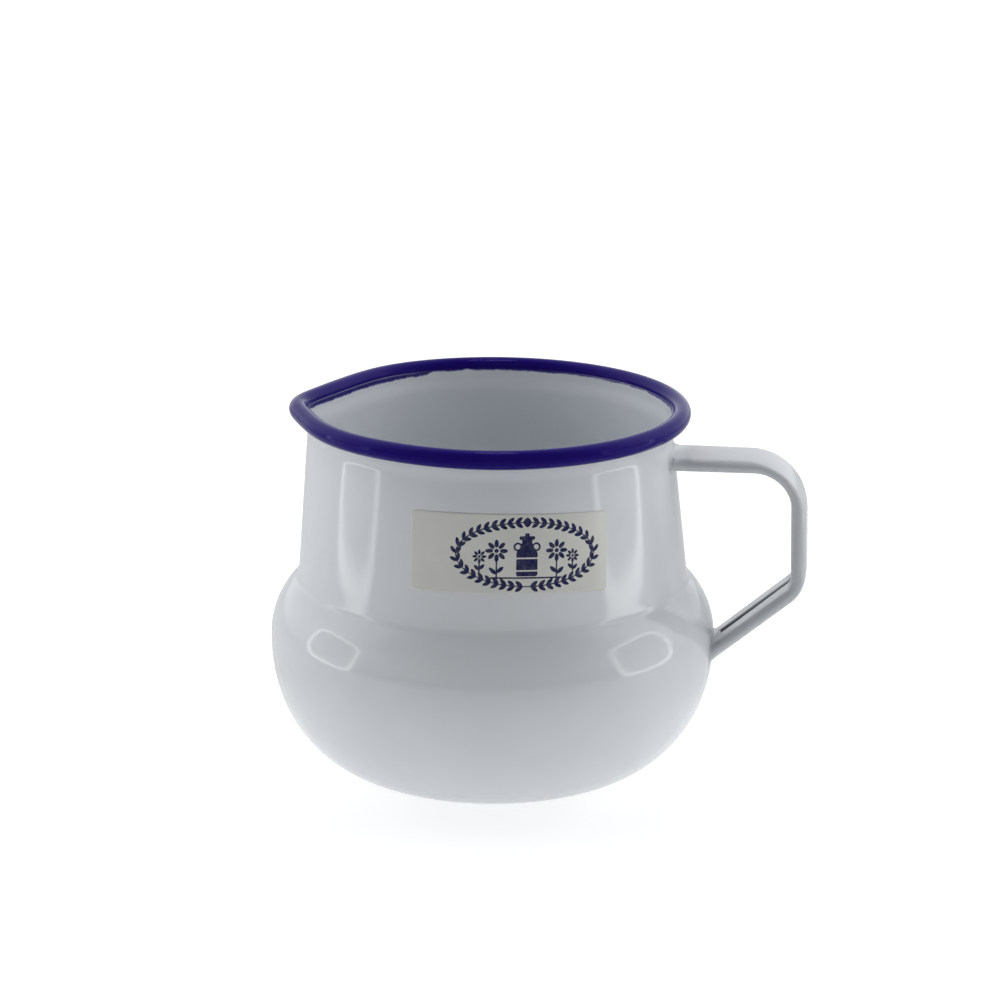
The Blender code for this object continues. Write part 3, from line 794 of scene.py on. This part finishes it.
class Nodes:
    """A short way to write a node tree."""

    def __init__(self, name):
        self.made = bpy.data.materials.new(name)
        self.made.use_nodes = True
        self.tree = self.made.node_tree
        self.shader = self.tree.nodes["Principled BSDF"]
        self.place = self.add('ShaderNodeTexCoord').outputs["Object"]

    def add(self, kind, **values):
        node = self.tree.nodes.new(kind)
        for key, value in values.items():
            setattr(node, key, value)
        return node

    def plug(self, socket, value):
        if isinstance(value, bpy.types.NodeSocket):
            self.tree.links.new(value, socket)
        elif isinstance(value, tuple) and len(value) == 3 and socket.type == 'RGBA':
            socket.default_value = (*value, 1.0)
        else:
            socket.default_value = value

    def noise(self, size, detail=2.0, seed=0.0, distortion=0.0):
        """Noise whose lumps are about as wide as the size, in metres."""
        node = self.add('ShaderNodeTexNoise', noise_dimensions='4D')
        self.plug(node.inputs["Vector"], self.place)
        self.plug(node.inputs["W"], seed)
        self.plug(node.inputs["Scale"], 1.0 / size)
        self.plug(node.inputs["Detail"], detail)
        self.plug(node.inputs["Distortion"], distortion)
        return node.outputs["Fac"]

    def ramp(self, value, low, high, start=0.0, end=1.0, kind='LINEAR'):
        node = self.add('ShaderNodeMapRange', interpolation_type=kind)
        for name, number in (("Value", value), ("From Min", low), ("From Max", high),
                             ("To Min", start), ("To Max", end)):
            self.plug(node.inputs[name], number)
        return node.outputs["Result"]

    def math(self, operation, first, second=0.0):
        node = self.add('ShaderNodeMath', operation=operation)
        self.plug(node.inputs[0], first)
        self.plug(node.inputs[1], second)
        return node.outputs["Value"]

    def mix(self, share, first, second):
        node = self.add('ShaderNodeMix', data_type='RGBA')
        self.plug(node.inputs["Factor"], share)
        self.plug(node.inputs["A"], first)
        self.plug(node.inputs["B"], second)
        return node.outputs["Result"]

    def bump(self, height, distance, before=None):
        node = self.add('ShaderNodeBump')
        self.plug(node.inputs["Strength"], 1.0)
        self.plug(node.inputs["Distance"], distance)
        self.plug(node.inputs["Height"], height)
        if before is not None:
            self.plug(node.inputs["Normal"], before)
        return node.outputs["Normal"]

    def attribute(self, name):
        return self.add('ShaderNodeAttribute', attribute_name=name).outputs["Fac"]

    def pinholes(self, cell, size, seed):
        """1 in small dots, at the middles of a few of the cells of a Voronoi pattern."""
        node = self.add('ShaderNodeTexVoronoi', voronoi_dimensions='4D')
        self.plug(node.inputs["Vector"], self.place)
        self.plug(node.inputs["W"], seed)
        self.plug(node.inputs["Scale"], 1.0 / cell)
        dot = self.ramp(node.outputs["Distance"], size / cell, PINHOLE_CORE * size / cell)
        chosen = self.add('ShaderNodeSeparateColor')
        self.plug(chosen.inputs["Color"], node.outputs["Color"])
        few = self.ramp(chosen.outputs["Red"], *PINHOLE_THRESHOLD)
        return self.math('MULTIPLY', dot, few)

    def gloss(self, low, high, size, seed):
        """Roughness that wanders a little, as handled and washed enamel does."""
        wander = self.noise(size, detail=3.0, seed=seed)
        rough = self.ramp(wander, *ROUGHNESS_NOISE, low, high)
        self.plug(self.shader.inputs["Roughness"], rough)

    def relief(self, waves, peel, seed, peel_seed):
        """Two bumps, one on the other: slow waves and finer peel, each (width, height)."""
        slow = self.bump(self.noise(waves[0], detail=1.0, seed=seed), waves[1])
        fine = self.bump(self.noise(peel[0], seed=peel_seed), peel[1], slow)
        self.plug(self.shader.inputs["Normal"], fine)


def enamel_surface(nodes, seed):
    """Fired glass is never flat: it has slow waves from the sheet under it, and orange peel."""
    nodes.relief(SHEET_WAVES, ORANGE_PEEL, seed, seed + 3.0)
    nodes.plug(nodes.shader.inputs["IOR"], ENAMEL_IOR)


def white_body(nodes, c, seed, full, thinner):
    """White enamel's colour: clouds of thinner coat, faint mottle, and a few pinholes."""
    clouds = nodes.noise(CLOUD_SIZE, detail=3.0, seed=seed, distortion=CLOUD_TWIST)
    clouds = nodes.math('MULTIPLY', nodes.ramp(clouds, *CLOUD_NOISE), CLOUD_SHARE)
    mottle = nodes.noise(MOTTLE_SIZE, seed=seed + 1.0)
    thin = nodes.math('MAXIMUM', clouds, nodes.ramp(mottle, *MOTTLE_NOISE, 0.0, MOTTLE_MOST))
    white = nodes.mix(thin, tuple(full), tuple(thinner))
    specks = nodes.math('MAXIMUM', nodes.pinholes(*SMALL_PINHOLES, seed),
                        nodes.pinholes(*LARGE_PINHOLES, seed + 5.0))
    return nodes.mix(nodes.math('MULTIPLY', specks, PINHOLE_SHARE), white, tuple(c.ground))


def firing_marks(nodes, s):
    """1 in three small dots on the underside, where the jug stood on pins in the kiln."""
    marks = 0.0
    for pin in range(KILN_PINS):
        turn = KILN_PIN_TURN + pin * 2.0 * math.pi / KILN_PINS
        spot = nodes.add('ShaderNodeVectorMath', operation='DISTANCE')
        nodes.plug(spot.inputs[0], nodes.place)
        spot.inputs[1].default_value = (KILN_PIN_CIRCLE * math.cos(turn),
                                        KILN_PIN_CIRCLE * math.sin(turn), s.base_recess)
        near = nodes.ramp(spot.outputs["Value"], *KILN_MARK)
        marks = nodes.math('MAXIMUM', marks, near)
    return marks


def pot_enamel(s, c):
    nodes = Nodes("pot_enamel")
    white = white_body(nodes, c, 2.0, c.white, c.white_cool)
    marked = nodes.mix(firing_marks(nodes, s), white, tuple(c.ground))
    ragged = nodes.noise(BLUE_RAGGED_SIZE, detail=3.0, seed=8.0)
    ragged = nodes.ramp(ragged, *BLUE_RAGGED_NOISE, -BLUE_RAGGED_BY, BLUE_RAGGED_BY)
    depth = nodes.math('ADD', nodes.attribute("blue_depth"), ragged)
    thin = nodes.ramp(depth, *BLUE_THIN, kind='SMOOTHSTEP')
    full = nodes.ramp(depth, *BLUE_FULL, kind='SMOOTHSTEP')
    thin = nodes.math('MULTIPLY', thin, BLUE_THIN_SHARE)
    feathered = nodes.mix(thin, marked, tuple(c.blue_thin))
    nodes.plug(nodes.shader.inputs["Base Color"], nodes.mix(full, feathered, tuple(c.blue)))
    nodes.gloss(*POT_ROUGHNESS, size=24.0 * MM, seed=4.0)
    enamel_surface(nodes, 1.0)
    return nodes.made


def rim_enamel(c):
    nodes = Nodes("rim_enamel")
    cloud = nodes.noise(RIM_CLOUD_SIZE, detail=3.0, seed=6.0)
    cloud = nodes.ramp(cloud, *RIM_CLOUD_NOISE, 0.0, RIM_CLOUD_MOST)
    blue = nodes.mix(cloud, tuple(c.blue), tuple(c.blue_thin))
    specks = nodes.pinholes(*RIM_PINHOLES, seed=3.0)
    nodes.plug(nodes.shader.inputs["Base Color"], nodes.mix(specks, blue, tuple(c.ground)))
    nodes.gloss(*RIM_ROUGHNESS, size=15.0 * MM, seed=9.0)
    nodes.plug(nodes.shader.inputs["Specular IOR Level"], RIM_SPECULAR)
    nodes.plug(nodes.shader.inputs["Specular Tint"], BLUE_GLINT)
    nodes.relief(RIM_WAVES, RIM_PEEL, 5.0, 7.0)
    return nodes.made


# White enamel for the handle and its welds, painted darker than the pot's as shade.
def shaded_handle_enamel(c, name, seed):
    nodes = Nodes(name)
    white = white_body(nodes, c, seed, c.handle, c.handle_cool_shaded)
    nodes.plug(nodes.shader.inputs["Base Color"], white)
    nodes.gloss(*HANDLE_ROUGHNESS, size=13.0 * MM, seed=seed)
    enamel_surface(nodes, seed + 2.0)
    return nodes.made


def sticker_paper(c):
    nodes = Nodes("sticker_paper")
    shader = nodes.shader
    fibre = nodes.noise(FIBRE_SIZE, detail=3.0, seed=2.0)
    cloud = nodes.ramp(nodes.noise(WORN_SIZE, seed=1.0), *WORN_NOISE)
    worn = tuple(WORN_SHADE * channel for channel in c.paper)
    paper = nodes.mix(cloud, tuple(c.paper), worn)
    paper = nodes.mix(nodes.ramp(fibre, *FIBRE_NOISE, 0.0, FIBRE_MOST), paper, worn)
    rough = nodes.noise(INK_ROUGH_SIZE, seed=3.0)
    rough = nodes.ramp(rough, *INK_ROUGH_NOISE, -INK_ROUGH_BY, INK_ROUGH_BY)
    distance = nodes.math('ADD', nodes.attribute("print_distance"), rough)
    ink = nodes.ramp(distance, INK_EDGE, -INK_EDGE)
    uneven = nodes.ramp(nodes.noise(INK_UNEVEN_SIZE, seed=4.0), *INK_UNEVEN_NOISE, 1.0, INK_LEAST)
    printed = nodes.mix(nodes.math('MULTIPLY', ink, uneven), paper, tuple(c.ink))
    nodes.plug(shader.inputs["Base Color"], printed)
    nodes.plug(shader.inputs["Roughness"],
               nodes.ramp(ink, 0.0, 1.0, PAPER_ROUGHNESS, INK_ROUGHNESS))
    nodes.plug(shader.inputs["Specular IOR Level"],
               nodes.ramp(ink, 0.0, 1.0, PAPER_SPECULAR, INK_SPECULAR))
    nodes.plug(shader.inputs["Normal"], nodes.bump(fibre, FIBRE_HEIGHT))
    return nodes.made


# ---- Operators --------------------------------------------------------------------------------
class JUG_OT_pot(bpy.types.Operator):
    """Build the white enamelled pot with its pouring lip"""
    bl_idname = "milk_jug.pot"
    bl_label = "Pot"

    def execute(self, context):
        s, c = context.scene.jug_sizes, context.scene.jug_colours
        outer = outer_profile(s)
        inner = set_inwards(outer, s.wall)
        rows = np.concatenate([inner[-2::-1], outer[:-1]])
        grid = pour_lip(s, turned_points(rows, ROUND))
        poles = np.array([[0.0, 0.0, inner[-1, 1]], [0.0, 0.0, outer[-1, 1]]])
        points = np.concatenate([grid.reshape(-1, 3), poles])
        count = len(rows) * ROUND
        j = np.arange(ROUND)
        k = (j + 1) % ROUND
        last = count - ROUND
        fans = np.concatenate([np.stack([np.full(ROUND, count), j, k], -1),
                               np.stack([np.full(ROUND, count + 1), last + k, last + j], -1)])
        item = put_mesh("pot", points, grid_quads(len(rows), ROUND, False, True), fans)
        turn = np.arctan2(grid[..., 1], grid[..., 0])
        depth = grid[..., 2] - blue_edge(s, turn)
        outside = grid[len(inner) - 1:, :, 2]
        depth[len(inner) - 1:] = outside - underside(s) - BLUE_OUTSIDE
        give_attribute(item, "blue_depth", np.append(depth.ravel(), [NO_BLUE, NO_BLUE]) / MM)
        finish_piece(item, pot_enamel(s, c), "white_enamel", "pot_shell")
        return {'FINISHED'}


class JUG_OT_rim(bpy.types.Operator):
    """Build the blue rolled rim"""
    bl_idname = "milk_jug.rim"
    bl_label = "Rolled rim"

    def execute(self, context):
        s, c = context.scene.jug_sizes, context.scene.jug_colours
        section = curl_section(s)
        grid = pour_lip(s, turned_points(section, ROUND_RIM))
        quads = grid_quads(len(section), ROUND_RIM, True, True)
        item = put_mesh("rolled_rim", grid.reshape(-1, 3), quads)
        finish_piece(item, rim_enamel(c), "blue_enamel", "rim_bead")
        return {'FINISHED'}


class JUG_OT_handle(bpy.types.Operator):
    """Build the handle from its rolled and bent strip"""
    bl_idname = "milk_jug.handle"
    bl_label = "Handle"

    def execute(self, context):
        s, h = context.scene.jug_sizes, context.scene.jug_handle
        middle, normal, deep = strap_frames(s, h)
        travel = np.linalg.norm(np.diff(middle, axis=0), axis=1).cumsum()
        left = (travel[-1] - np.append(0.0, travel)) / SEAM_OPENS
        seam = h.seam + (h.seam_low - h.seam) * smooth_step(1.0 - left)
        across, outward = strap_loops(h, deep, seam)
        grid = in_space(middle, normal, across, outward)
        grid[0] = drop_to_wall(s, grid[0], flat_way(LEVEL), LEG_DEPTH)
        grid[-1] = drop_to_wall(s, grid[-1], flat_way(leg_way(h)), LEG_DEPTH)
        rows, columns = grid.shape[:2]
        quads = grid_quads(rows, columns, False, True)
        ends = cap_quads(columns)
        last = (rows - 1) * columns
        quads = np.concatenate([quads, ends[:, ::-1], ends + last])
        item = put_mesh("handle", grid.reshape(-1, 3), quads)
        c = context.scene.jug_colours
        finish_piece(item, shaded_handle_enamel(c, "shaded_handle_enamel", 21.0), "white_enamel", "handle_strap")
        return {'FINISHED'}


def cap_quads(columns):
    """Quads that close the ring between the outside and the inside of the strip's section."""
    i = np.arange(columns // 2 - 1)
    return np.stack([i, i + 1, columns - 2 - i, columns - 1 - i], -1)


class JUG_OT_welds(bpy.types.Operator):
    """Build the two enamelled welds between handle and pot"""
    bl_idname = "milk_jug.welds"
    bl_label = "Welds"

    def execute(self, context):
        s, h = context.scene.jug_sizes, context.scene.jug_handle
        c = context.scene.jug_colours
        middle, normal, deep = strap_frames(s, h)
        # The welds take the handle's white, which is painted darker as shade.
        finish = shaded_handle_enamel(c, "weld_enamel", 33.0)
        for name, node, end, way, climb, crook in (
                ("upper_weld", "upper_weld_pad", 0, LEVEL, UPPER_CLIMB, 0.0),
                ("lower_weld", "lower_weld_pad", -1, leg_way(h), LOWER_CLIMB, CROOK_CLIMB)):
            grid = weld_grid(s, h, middle[end], normal[end], deep[end], way, climb, crook)
            quads = grid_quads(*grid.shape[:2], True, True)
            item = put_mesh(name, grid.reshape(-1, 3), quads)
            finish_piece(item, finish, "weld_enamel", node)
        return {'FINISHED'}


class JUG_OT_sticker(bpy.types.Operator):
    """Build the sticker with its print"""
    bl_idname = "milk_jug.sticker"
    bl_label = "Sticker"

    def execute(self, context):
        s, k = context.scene.jug_sizes, context.scene.jug_sticker
        straight = k.width / 2 - k.corner
        quarter = np.linspace(0.0, math.pi / 2, CORNER_STEPS + 1)[1:]
        bend = straight + k.corner * np.sin(quarter)
        across = np.linspace(-straight, straight, round(2 * straight / PRINT_STEP))
        across = np.concatenate([-bend[::-1], across, bend])
        inset = (np.abs(across) - straight).clip(0.0)
        half = k.height / 2 - k.corner + np.sqrt((k.corner ** 2 - inset ** 2).clip(0.0))
        share = np.linspace(-1.0, 1.0, round(k.height / PRINT_STEP))
        along = np.broadcast_to(across[:, None], (len(across), len(share)))
        up = half[:, None] * share
        tilt_u = along * math.cos(k.tilt) - up * math.sin(k.tilt)
        tilt_v = along * math.sin(k.tilt) + up * math.cos(k.tilt)
        # The outer face falls towards the gummed one over the last tenth of a millimetre.
        rim = np.minimum(half[:, None] - np.abs(up), (k.width / 2 - np.abs(across))[:, None])
        rounded = (1.0 - PAPER_EDGE_SHARE) * smooth_step(rim / PAPER_EDGE)
        lift = k.thickness * (PAPER_EDGE_SHARE + rounded)
        front = on_neck(s, k, tilt_u, tilt_v, lift + STICKER_FRONT)
        back = on_neck(s, k, tilt_u, tilt_v, np.full_like(lift, STICKER_BACK))
        points, quads = sheet_body(front, back)
        item = put_mesh("sticker", points, quads)
        ink = print_distance(along, up)
        ink = np.append(ink.ravel(), np.full(ink.size, NO_INK))
        give_attribute(item, "print_distance", ink)
        paper = sticker_paper(context.scene.jug_colours)
        finish_piece(item, paper, "label_film", "label_sticker")
        return {'FINISHED'}


def sheet_body(front, back):
    """A thin closed body between two equal grids: both faces, and a strip round their edge."""
    rows, columns = front.shape[:2]
    count = rows * columns
    face = grid_quads(rows, columns, False, False)
    number = np.arange(count).reshape(rows, columns)
    edge = np.concatenate([number[0, :-1], number[:-1, -1], number[-1, :0:-1], number[:0:-1, 0]])
    after = np.roll(edge, -1)
    strip = np.stack([edge, edge + count, after + count, after], -1)
    face_turned = face[:, ::-1] + count
    points = np.concatenate([front.reshape(-1, 3), back.reshape(-1, 3)])
    return points, np.concatenate([face, face_turned, strip[:, ::-1]])


# ---- The stage --------------------------------------------------------------------------------
VIEW_TURN = math.radians(7.0)
VIEW_RISE = math.radians(17.67)
VIEW_DISTANCE = 0.9
VIEW_LENS = 113.47
VIEW_ROLL = math.radians(0.21)
AIM = Vector((0.0, 0.0, 0.055))
AIM_RIGHT = 1.97 * MM          # the camera looks this far to the right of the aim
AIM_UP = 21.7 * MM             # and this far above it
SENSOR_WIDTH = 36.0
CLIP_NEAR = 0.01
CLIP_FAR = 50.0

# The floor is a light table: its glow fades out between two distances from a place that is a
# little ahead of the jug. The camera sees an even glow instead.
FLOOR_HALF = 3.0
FLOOR_ROUGHNESS = 0.9
GLOW_AHEAD = 0.045
GLOW_INSIDE = 0.07
GLOW_OUTSIDE = 0.15
GLOW_STRENGTH = 0.38
FLOOR_TO_CAMERA = 0.55

# Side softboxes: the brightness of the cloth's middle and of its frame, then for each its name,
# direction from the camera's side, half width, and the heights of its lower and upper edge.
SIDE_DISTANCE = 0.30
SIDE_MIDDLE = 1.0
SIDE_FRAME = 3.4
SIDE_BOXES = (("softbox_left", math.radians(-84.0), 90.0 * MM, 25.0 * MM, 185.0 * MM),
              ("softbox_right", math.radians(78.0), 100.0 * MM, 20.0 * MM, 220.0 * MM))
CLOTH_POWER = 4.0
CLOTH_EDGE = 0.5               # distance from the middle at which the cloth ends
CLOTH_FRAME = (0.39, 0.44)     # distances between which its middle turns into its frame
STRIP_HEIGHT = 0.55
STRIP_BEHIND = 0.06
STRIP_HALF_LONG = 0.05
STRIP_HALF_WIDE = 0.022
STRIP_LIGHT = 16.0

# The studio's walls as the jug sees them. Each row is an elevation in degrees and the brightness
# at the directions in SKY_TURNS, in degrees from the camera's side round to behind the jug.
SKY_TURNS = (0.0, 40.0, 65.0, 90.0, 115.0, 145.0, 180.0)
SKY_ROWS = ((0.0, (0.0, 0.0, 0.0, 0.2, 0.9, 1.1, 1.1)),
            (20.0, (0.22, 0.35, 0.8, 1.8, 1.5, 0.9, 0.9)),
            (50.0, (0.06, 0.06, 0.3, 1.5, 1.8, 1.3, 0.85)),
            (90.0, (0.12, 0.12, 0.12, 0.12, 0.12, 0.12, 0.12)))
SKY_PEAK = 2.5
SKY_COLOUR = (0.97, 0.985, 1.0, 1.0)
WHITE = (1.0, 1.0, 1.0, 1.0)


def view_axes():
    """Right, up and back of the camera before its roll."""
    right = Vector((math.cos(VIEW_TURN), math.sin(VIEW_TURN), 0.0))
    back = Vector((math.sin(VIEW_TURN) * math.cos(VIEW_RISE),
                   -math.cos(VIEW_TURN) * math.cos(VIEW_RISE), math.sin(VIEW_RISE)))
    return right, back.cross(right), back


def place_camera():
    right, up, back = view_axes()
    spot = AIM + back * VIEW_DISTANCE
    target = AIM + right * AIM_RIGHT + up * AIM_UP
    away = (spot - target).normalized()
    side = up.cross(away).normalized()
    turned = Matrix((side, away.cross(side), away)).transposed()
    turned = turned @ Matrix.Rotation(VIEW_ROLL, 3, 'Z')
    data = bpy.data.cameras.new("camera")
    data.lens = VIEW_LENS
    data.sensor_width = SENSOR_WIDTH
    data.clip_start = CLIP_NEAR
    data.clip_end = CLIP_FAR
    camera = bpy.data.objects.new("camera", data)
    camera.matrix_world = Matrix.Translation(spot) @ turned.to_4x4()
    bpy.context.scene.collection.objects.link(camera)
    bpy.context.scene.camera = camera


def stage_plane(name, corners):
    """One quad with its own UV map."""
    mesh = bpy.data.meshes.new(name)
    mesh.from_pydata(corners, [], [(0, 1, 2, 3)])
    uv = mesh.uv_layers.new(name="UVMap")
    uv.data.foreach_set("uv", [0.0, 0.0, 1.0, 0.0, 1.0, 1.0, 0.0, 1.0])
    item = bpy.data.objects.new(name, mesh)
    bpy.context.scene.collection.objects.link(item)
    return item


class Graph:
    """A node tree of a light or of the world, written the short way."""

    def __init__(self, tree):
        self.tree = tree
        tree.nodes.clear()

    def add(self, kind, inputs=(), **values):
        """A new node's first output. Inputs are given by name or number, as sockets or values."""
        node = self.tree.nodes.new(kind)
        for key, value in values.items():
            setattr(node, key, value)
        for key, value in dict(inputs).items():
            if isinstance(value, bpy.types.NodeSocket):
                self.tree.links.new(value, node.inputs[key])
            else:
                node.inputs[key].default_value = value
        return node.outputs[0] if node.outputs else None

    def math(self, operation, first, second=0.0):
        return self.add('ShaderNodeMath', {0: first, 1: second}, operation=operation)

    def ramp(self, value, low, high, start=0.0, end=1.0):
        return self.add('ShaderNodeMapRange', {0: value, 1: low, 2: high, 3: start, 4: end},
                        interpolation_type='SMOOTHSTEP')

    def camera_ray(self):
        """1 for what the camera sees directly, 0 for what lights or mirrors in the jug."""
        return self.add('ShaderNodeLightPath')


def lay_floor(c):
    """A white light table. It glows under the jug and a little in front of it, and takes soft
    shadows. To the camera it is evenly pale."""
    far = FLOOR_HALF
    floor = stage_plane("floor", [(-far, -far, 0.0), (far, -far, 0.0), (far, far, 0.0),
                                  (-far, far, 0.0)])
    made = bpy.data.materials.new("floor_white")
    made.use_nodes = True
    g = Graph(made.node_tree)
    _, _, back = view_axes()
    place = g.add('ShaderNodeTexCoord').node.outputs["Object"]
    ahead = Vector((back.x, back.y, 0.0)) * GLOW_AHEAD
    apart = g.add('ShaderNodeVectorMath', {0: place, 1: ahead},
                  operation='DISTANCE').node.outputs["Value"]
    glow = g.ramp(apart, GLOW_INSIDE, GLOW_OUTSIDE, GLOW_STRENGTH, 0.0)
    glow = g.add('ShaderNodeMix', {"Factor": g.camera_ray(), "A": glow, "B": FLOOR_TO_CAMERA})
    surface = g.add('ShaderNodeBsdfPrincipled', {
        "Base Color": (*c.floor, 1.0), "Roughness": FLOOR_ROUGHNESS, "Specular IOR Level": 0.0,
        "Emission Color": WHITE, "Emission Strength": glow})
    g.add('ShaderNodeOutputMaterial', {"Surface": surface})
    floor.data.materials.append(made)


def hang_softbox(name, middle, across, up, dim, bright):
    """A softbox with round corners. Its cloth is dimmer in the middle than along its frame:
    |x|^4 + |y|^4, and the fourth root of that, gives the distance from its middle."""
    box = stage_plane(name, [middle - across - up, middle + across - up, middle + across + up,
                             middle - across + up])
    made = bpy.data.materials.new(name + "_cloth")
    made.use_nodes = True
    g = Graph(made.node_tree)
    uv = g.add('ShaderNodeUVMap', uv_map="UVMap")
    centred = g.add('ShaderNodeVectorMath', {0: uv, 1: (0.5, 0.5, 0.0)}, operation='SUBTRACT')
    split = g.add('ShaderNodeSeparateXYZ', {0: centred}).node
    far = [g.math('POWER', g.math('ABSOLUTE', split.outputs[i]), CLOTH_POWER) for i in (0, 1)]
    far = g.math('POWER', g.math('ADD', far[0], far[1]), 1.0 / CLOTH_POWER)
    strength = g.ramp(far, *CLOTH_FRAME, dim, bright)
    cloth = g.add('ShaderNodeEmission', {"Strength": strength})
    clear = g.add('ShaderNodeBsdfTransparent')
    cut = g.math('GREATER_THAN', far, CLOTH_EDGE)
    g.add('ShaderNodeOutputMaterial',
          {"Surface": g.add('ShaderNodeMixShader', {0: cut, 1: cloth, 2: clear})})
    box.data.materials.append(made)
    box.visible_camera = False


def hang_softboxes():
    """One tall softbox at each side of the jug and a small strip over it."""
    right, _, back = view_axes()
    flat_back = Vector((back.x, back.y, 0.0)).normalized()
    for name, turn, half, low, high in SIDE_BOXES:
        way = flat_back * math.cos(turn) + right * math.sin(turn)
        middle = way * SIDE_DISTANCE + Vector((0.0, 0.0, (low + high) / 2))
        hang_softbox(name, middle, Vector((-way.y, way.x, 0.0)) * half,
                     Vector((0.0, 0.0, (high - low) / 2)), SIDE_MIDDLE, SIDE_FRAME)
    hang_softbox("strip_over", Vector((0.0, 0.0, STRIP_HEIGHT)) - flat_back * STRIP_BEHIND,
                 right * STRIP_HALF_LONG, flat_back * STRIP_HALF_WIDE, STRIP_LIGHT, STRIP_LIGHT)


def light_world():
    """Bright walls beside and behind the jug, dark where the camera stands and overhead. To the
    camera the backdrop is plain white all round."""
    right, _, back = view_axes()
    world = bpy.data.worlds.new("studio")
    bpy.context.scene.world = world
    world.use_nodes = True
    g = Graph(world.node_tree)
    place = g.add('ShaderNodeTexCoord')
    front_way = Vector((back.x, back.y, 0.0)).normalized()
    dots = [g.add('ShaderNodeVectorMath', {0: place, 1: way},
                  operation='DOT_PRODUCT').node.outputs["Value"] for way in (right, front_way)]
    turn = g.math('ARCTAN2', dots[0], dots[1])
    share = g.math('DIVIDE', g.math('ABSOLUTE', turn), math.pi)
    height = g.add('ShaderNodeSeparateXYZ', {0: place}).node.outputs["Z"]
    rise = g.math('ARCSINE', height)
    light = None
    for index, (elevation, row) in enumerate(SKY_ROWS):
        ramp = g.add('ShaderNodeValToRGB', {0: share}).node
        stops = ramp.color_ramp.elements
        while len(stops) < len(row):
            stops.new(0.5)     # moved to its own place below
        for stop, degrees, value in zip(stops, SKY_TURNS, row):
            grey = value / SKY_PEAK
            stop.position = degrees / SKY_TURNS[-1]
            stop.color = (grey, grey, grey, 1.0)
        if light is None:
            light = ramp.outputs["Color"]
        else:
            step = g.ramp(rise, math.radians(SKY_ROWS[index - 1][0]), math.radians(elevation))
            light = g.add('ShaderNodeMix', {"Factor": step, 6: light, 7: ramp.outputs["Color"]},
                          data_type='RGBA').node.outputs["Result"]
    strength = g.math('MULTIPLY', light, SKY_PEAK)
    sky = g.add('ShaderNodeBackground', {"Color": SKY_COLOUR, "Strength": strength})
    backdrop = g.add('ShaderNodeBackground', {"Color": WHITE, "Strength": 1.0})
    g.add('ShaderNodeOutputWorld',
          {"Surface": g.add('ShaderNodeMixShader', {0: g.camera_ray(), 1: sky, 2: backdrop})})


class JUG_OT_stage(bpy.types.Operator):
    """Build the floor, the lights and the camera"""
    bl_idname = "milk_jug.stage"
    bl_label = "Stage"

    def execute(self, context):
        context.scene.view_settings.view_transform = 'Standard'
        lay_floor(context.scene.jug_colours)
        hang_softboxes()
        light_world()
        place_camera()
        return {'FINISHED'}


# ---- Panel and registration -------------------------------------------------------------------
OPERATORS = (JUG_OT_pot, JUG_OT_rim, JUG_OT_handle, JUG_OT_welds, JUG_OT_sticker, JUG_OT_stage)
GROUPS = (("jug_sizes", JugSizes), ("jug_handle", HandleSizes), ("jug_sticker", StickerSizes),
          ("jug_colours", JugColours))


class JUG_PT_panel(bpy.types.Panel):
    """Lists the jug's pieces and the sizes and colours that they are built from"""
    bl_idname = "JUG_PT_panel"
    bl_label = "Milk Jug"
    bl_space_type = 'VIEW_3D'
    bl_region_type = 'UI'
    bl_category = "Milk Jug"

    def draw(self, context):
        for operator in OPERATORS:
            self.layout.operator(operator.bl_idname)
        for name, group in GROUPS:
            box = self.layout.box()
            box.label(text=group.__doc__.split(".")[0])
            for key in group.__annotations__:
                box.prop(getattr(context.scene, name), key)


def register():
    for name, group in GROUPS:
        bpy.utils.register_class(group)
        setattr(bpy.types.Scene, name, PointerProperty(type=group))
    for operator in OPERATORS:
        bpy.utils.register_class(operator)
    bpy.utils.register_class(JUG_PT_panel)


def unregister():
    bpy.utils.unregister_class(JUG_PT_panel)
    for operator in reversed(OPERATORS):
        bpy.utils.unregister_class(operator)
    for name, group in reversed(GROUPS):
        delattr(bpy.types.Scene, name)
        bpy.utils.unregister_class(group)


def main():
    register()
    bpy.ops.milk_jug.pot()
    bpy.ops.milk_jug.rim()
    bpy.ops.milk_jug.handle()
    bpy.ops.milk_jug.welds()
    bpy.ops.milk_jug.sticker()
    bpy.ops.milk_jug.stage()


if __name__ == "__main__":
    main()
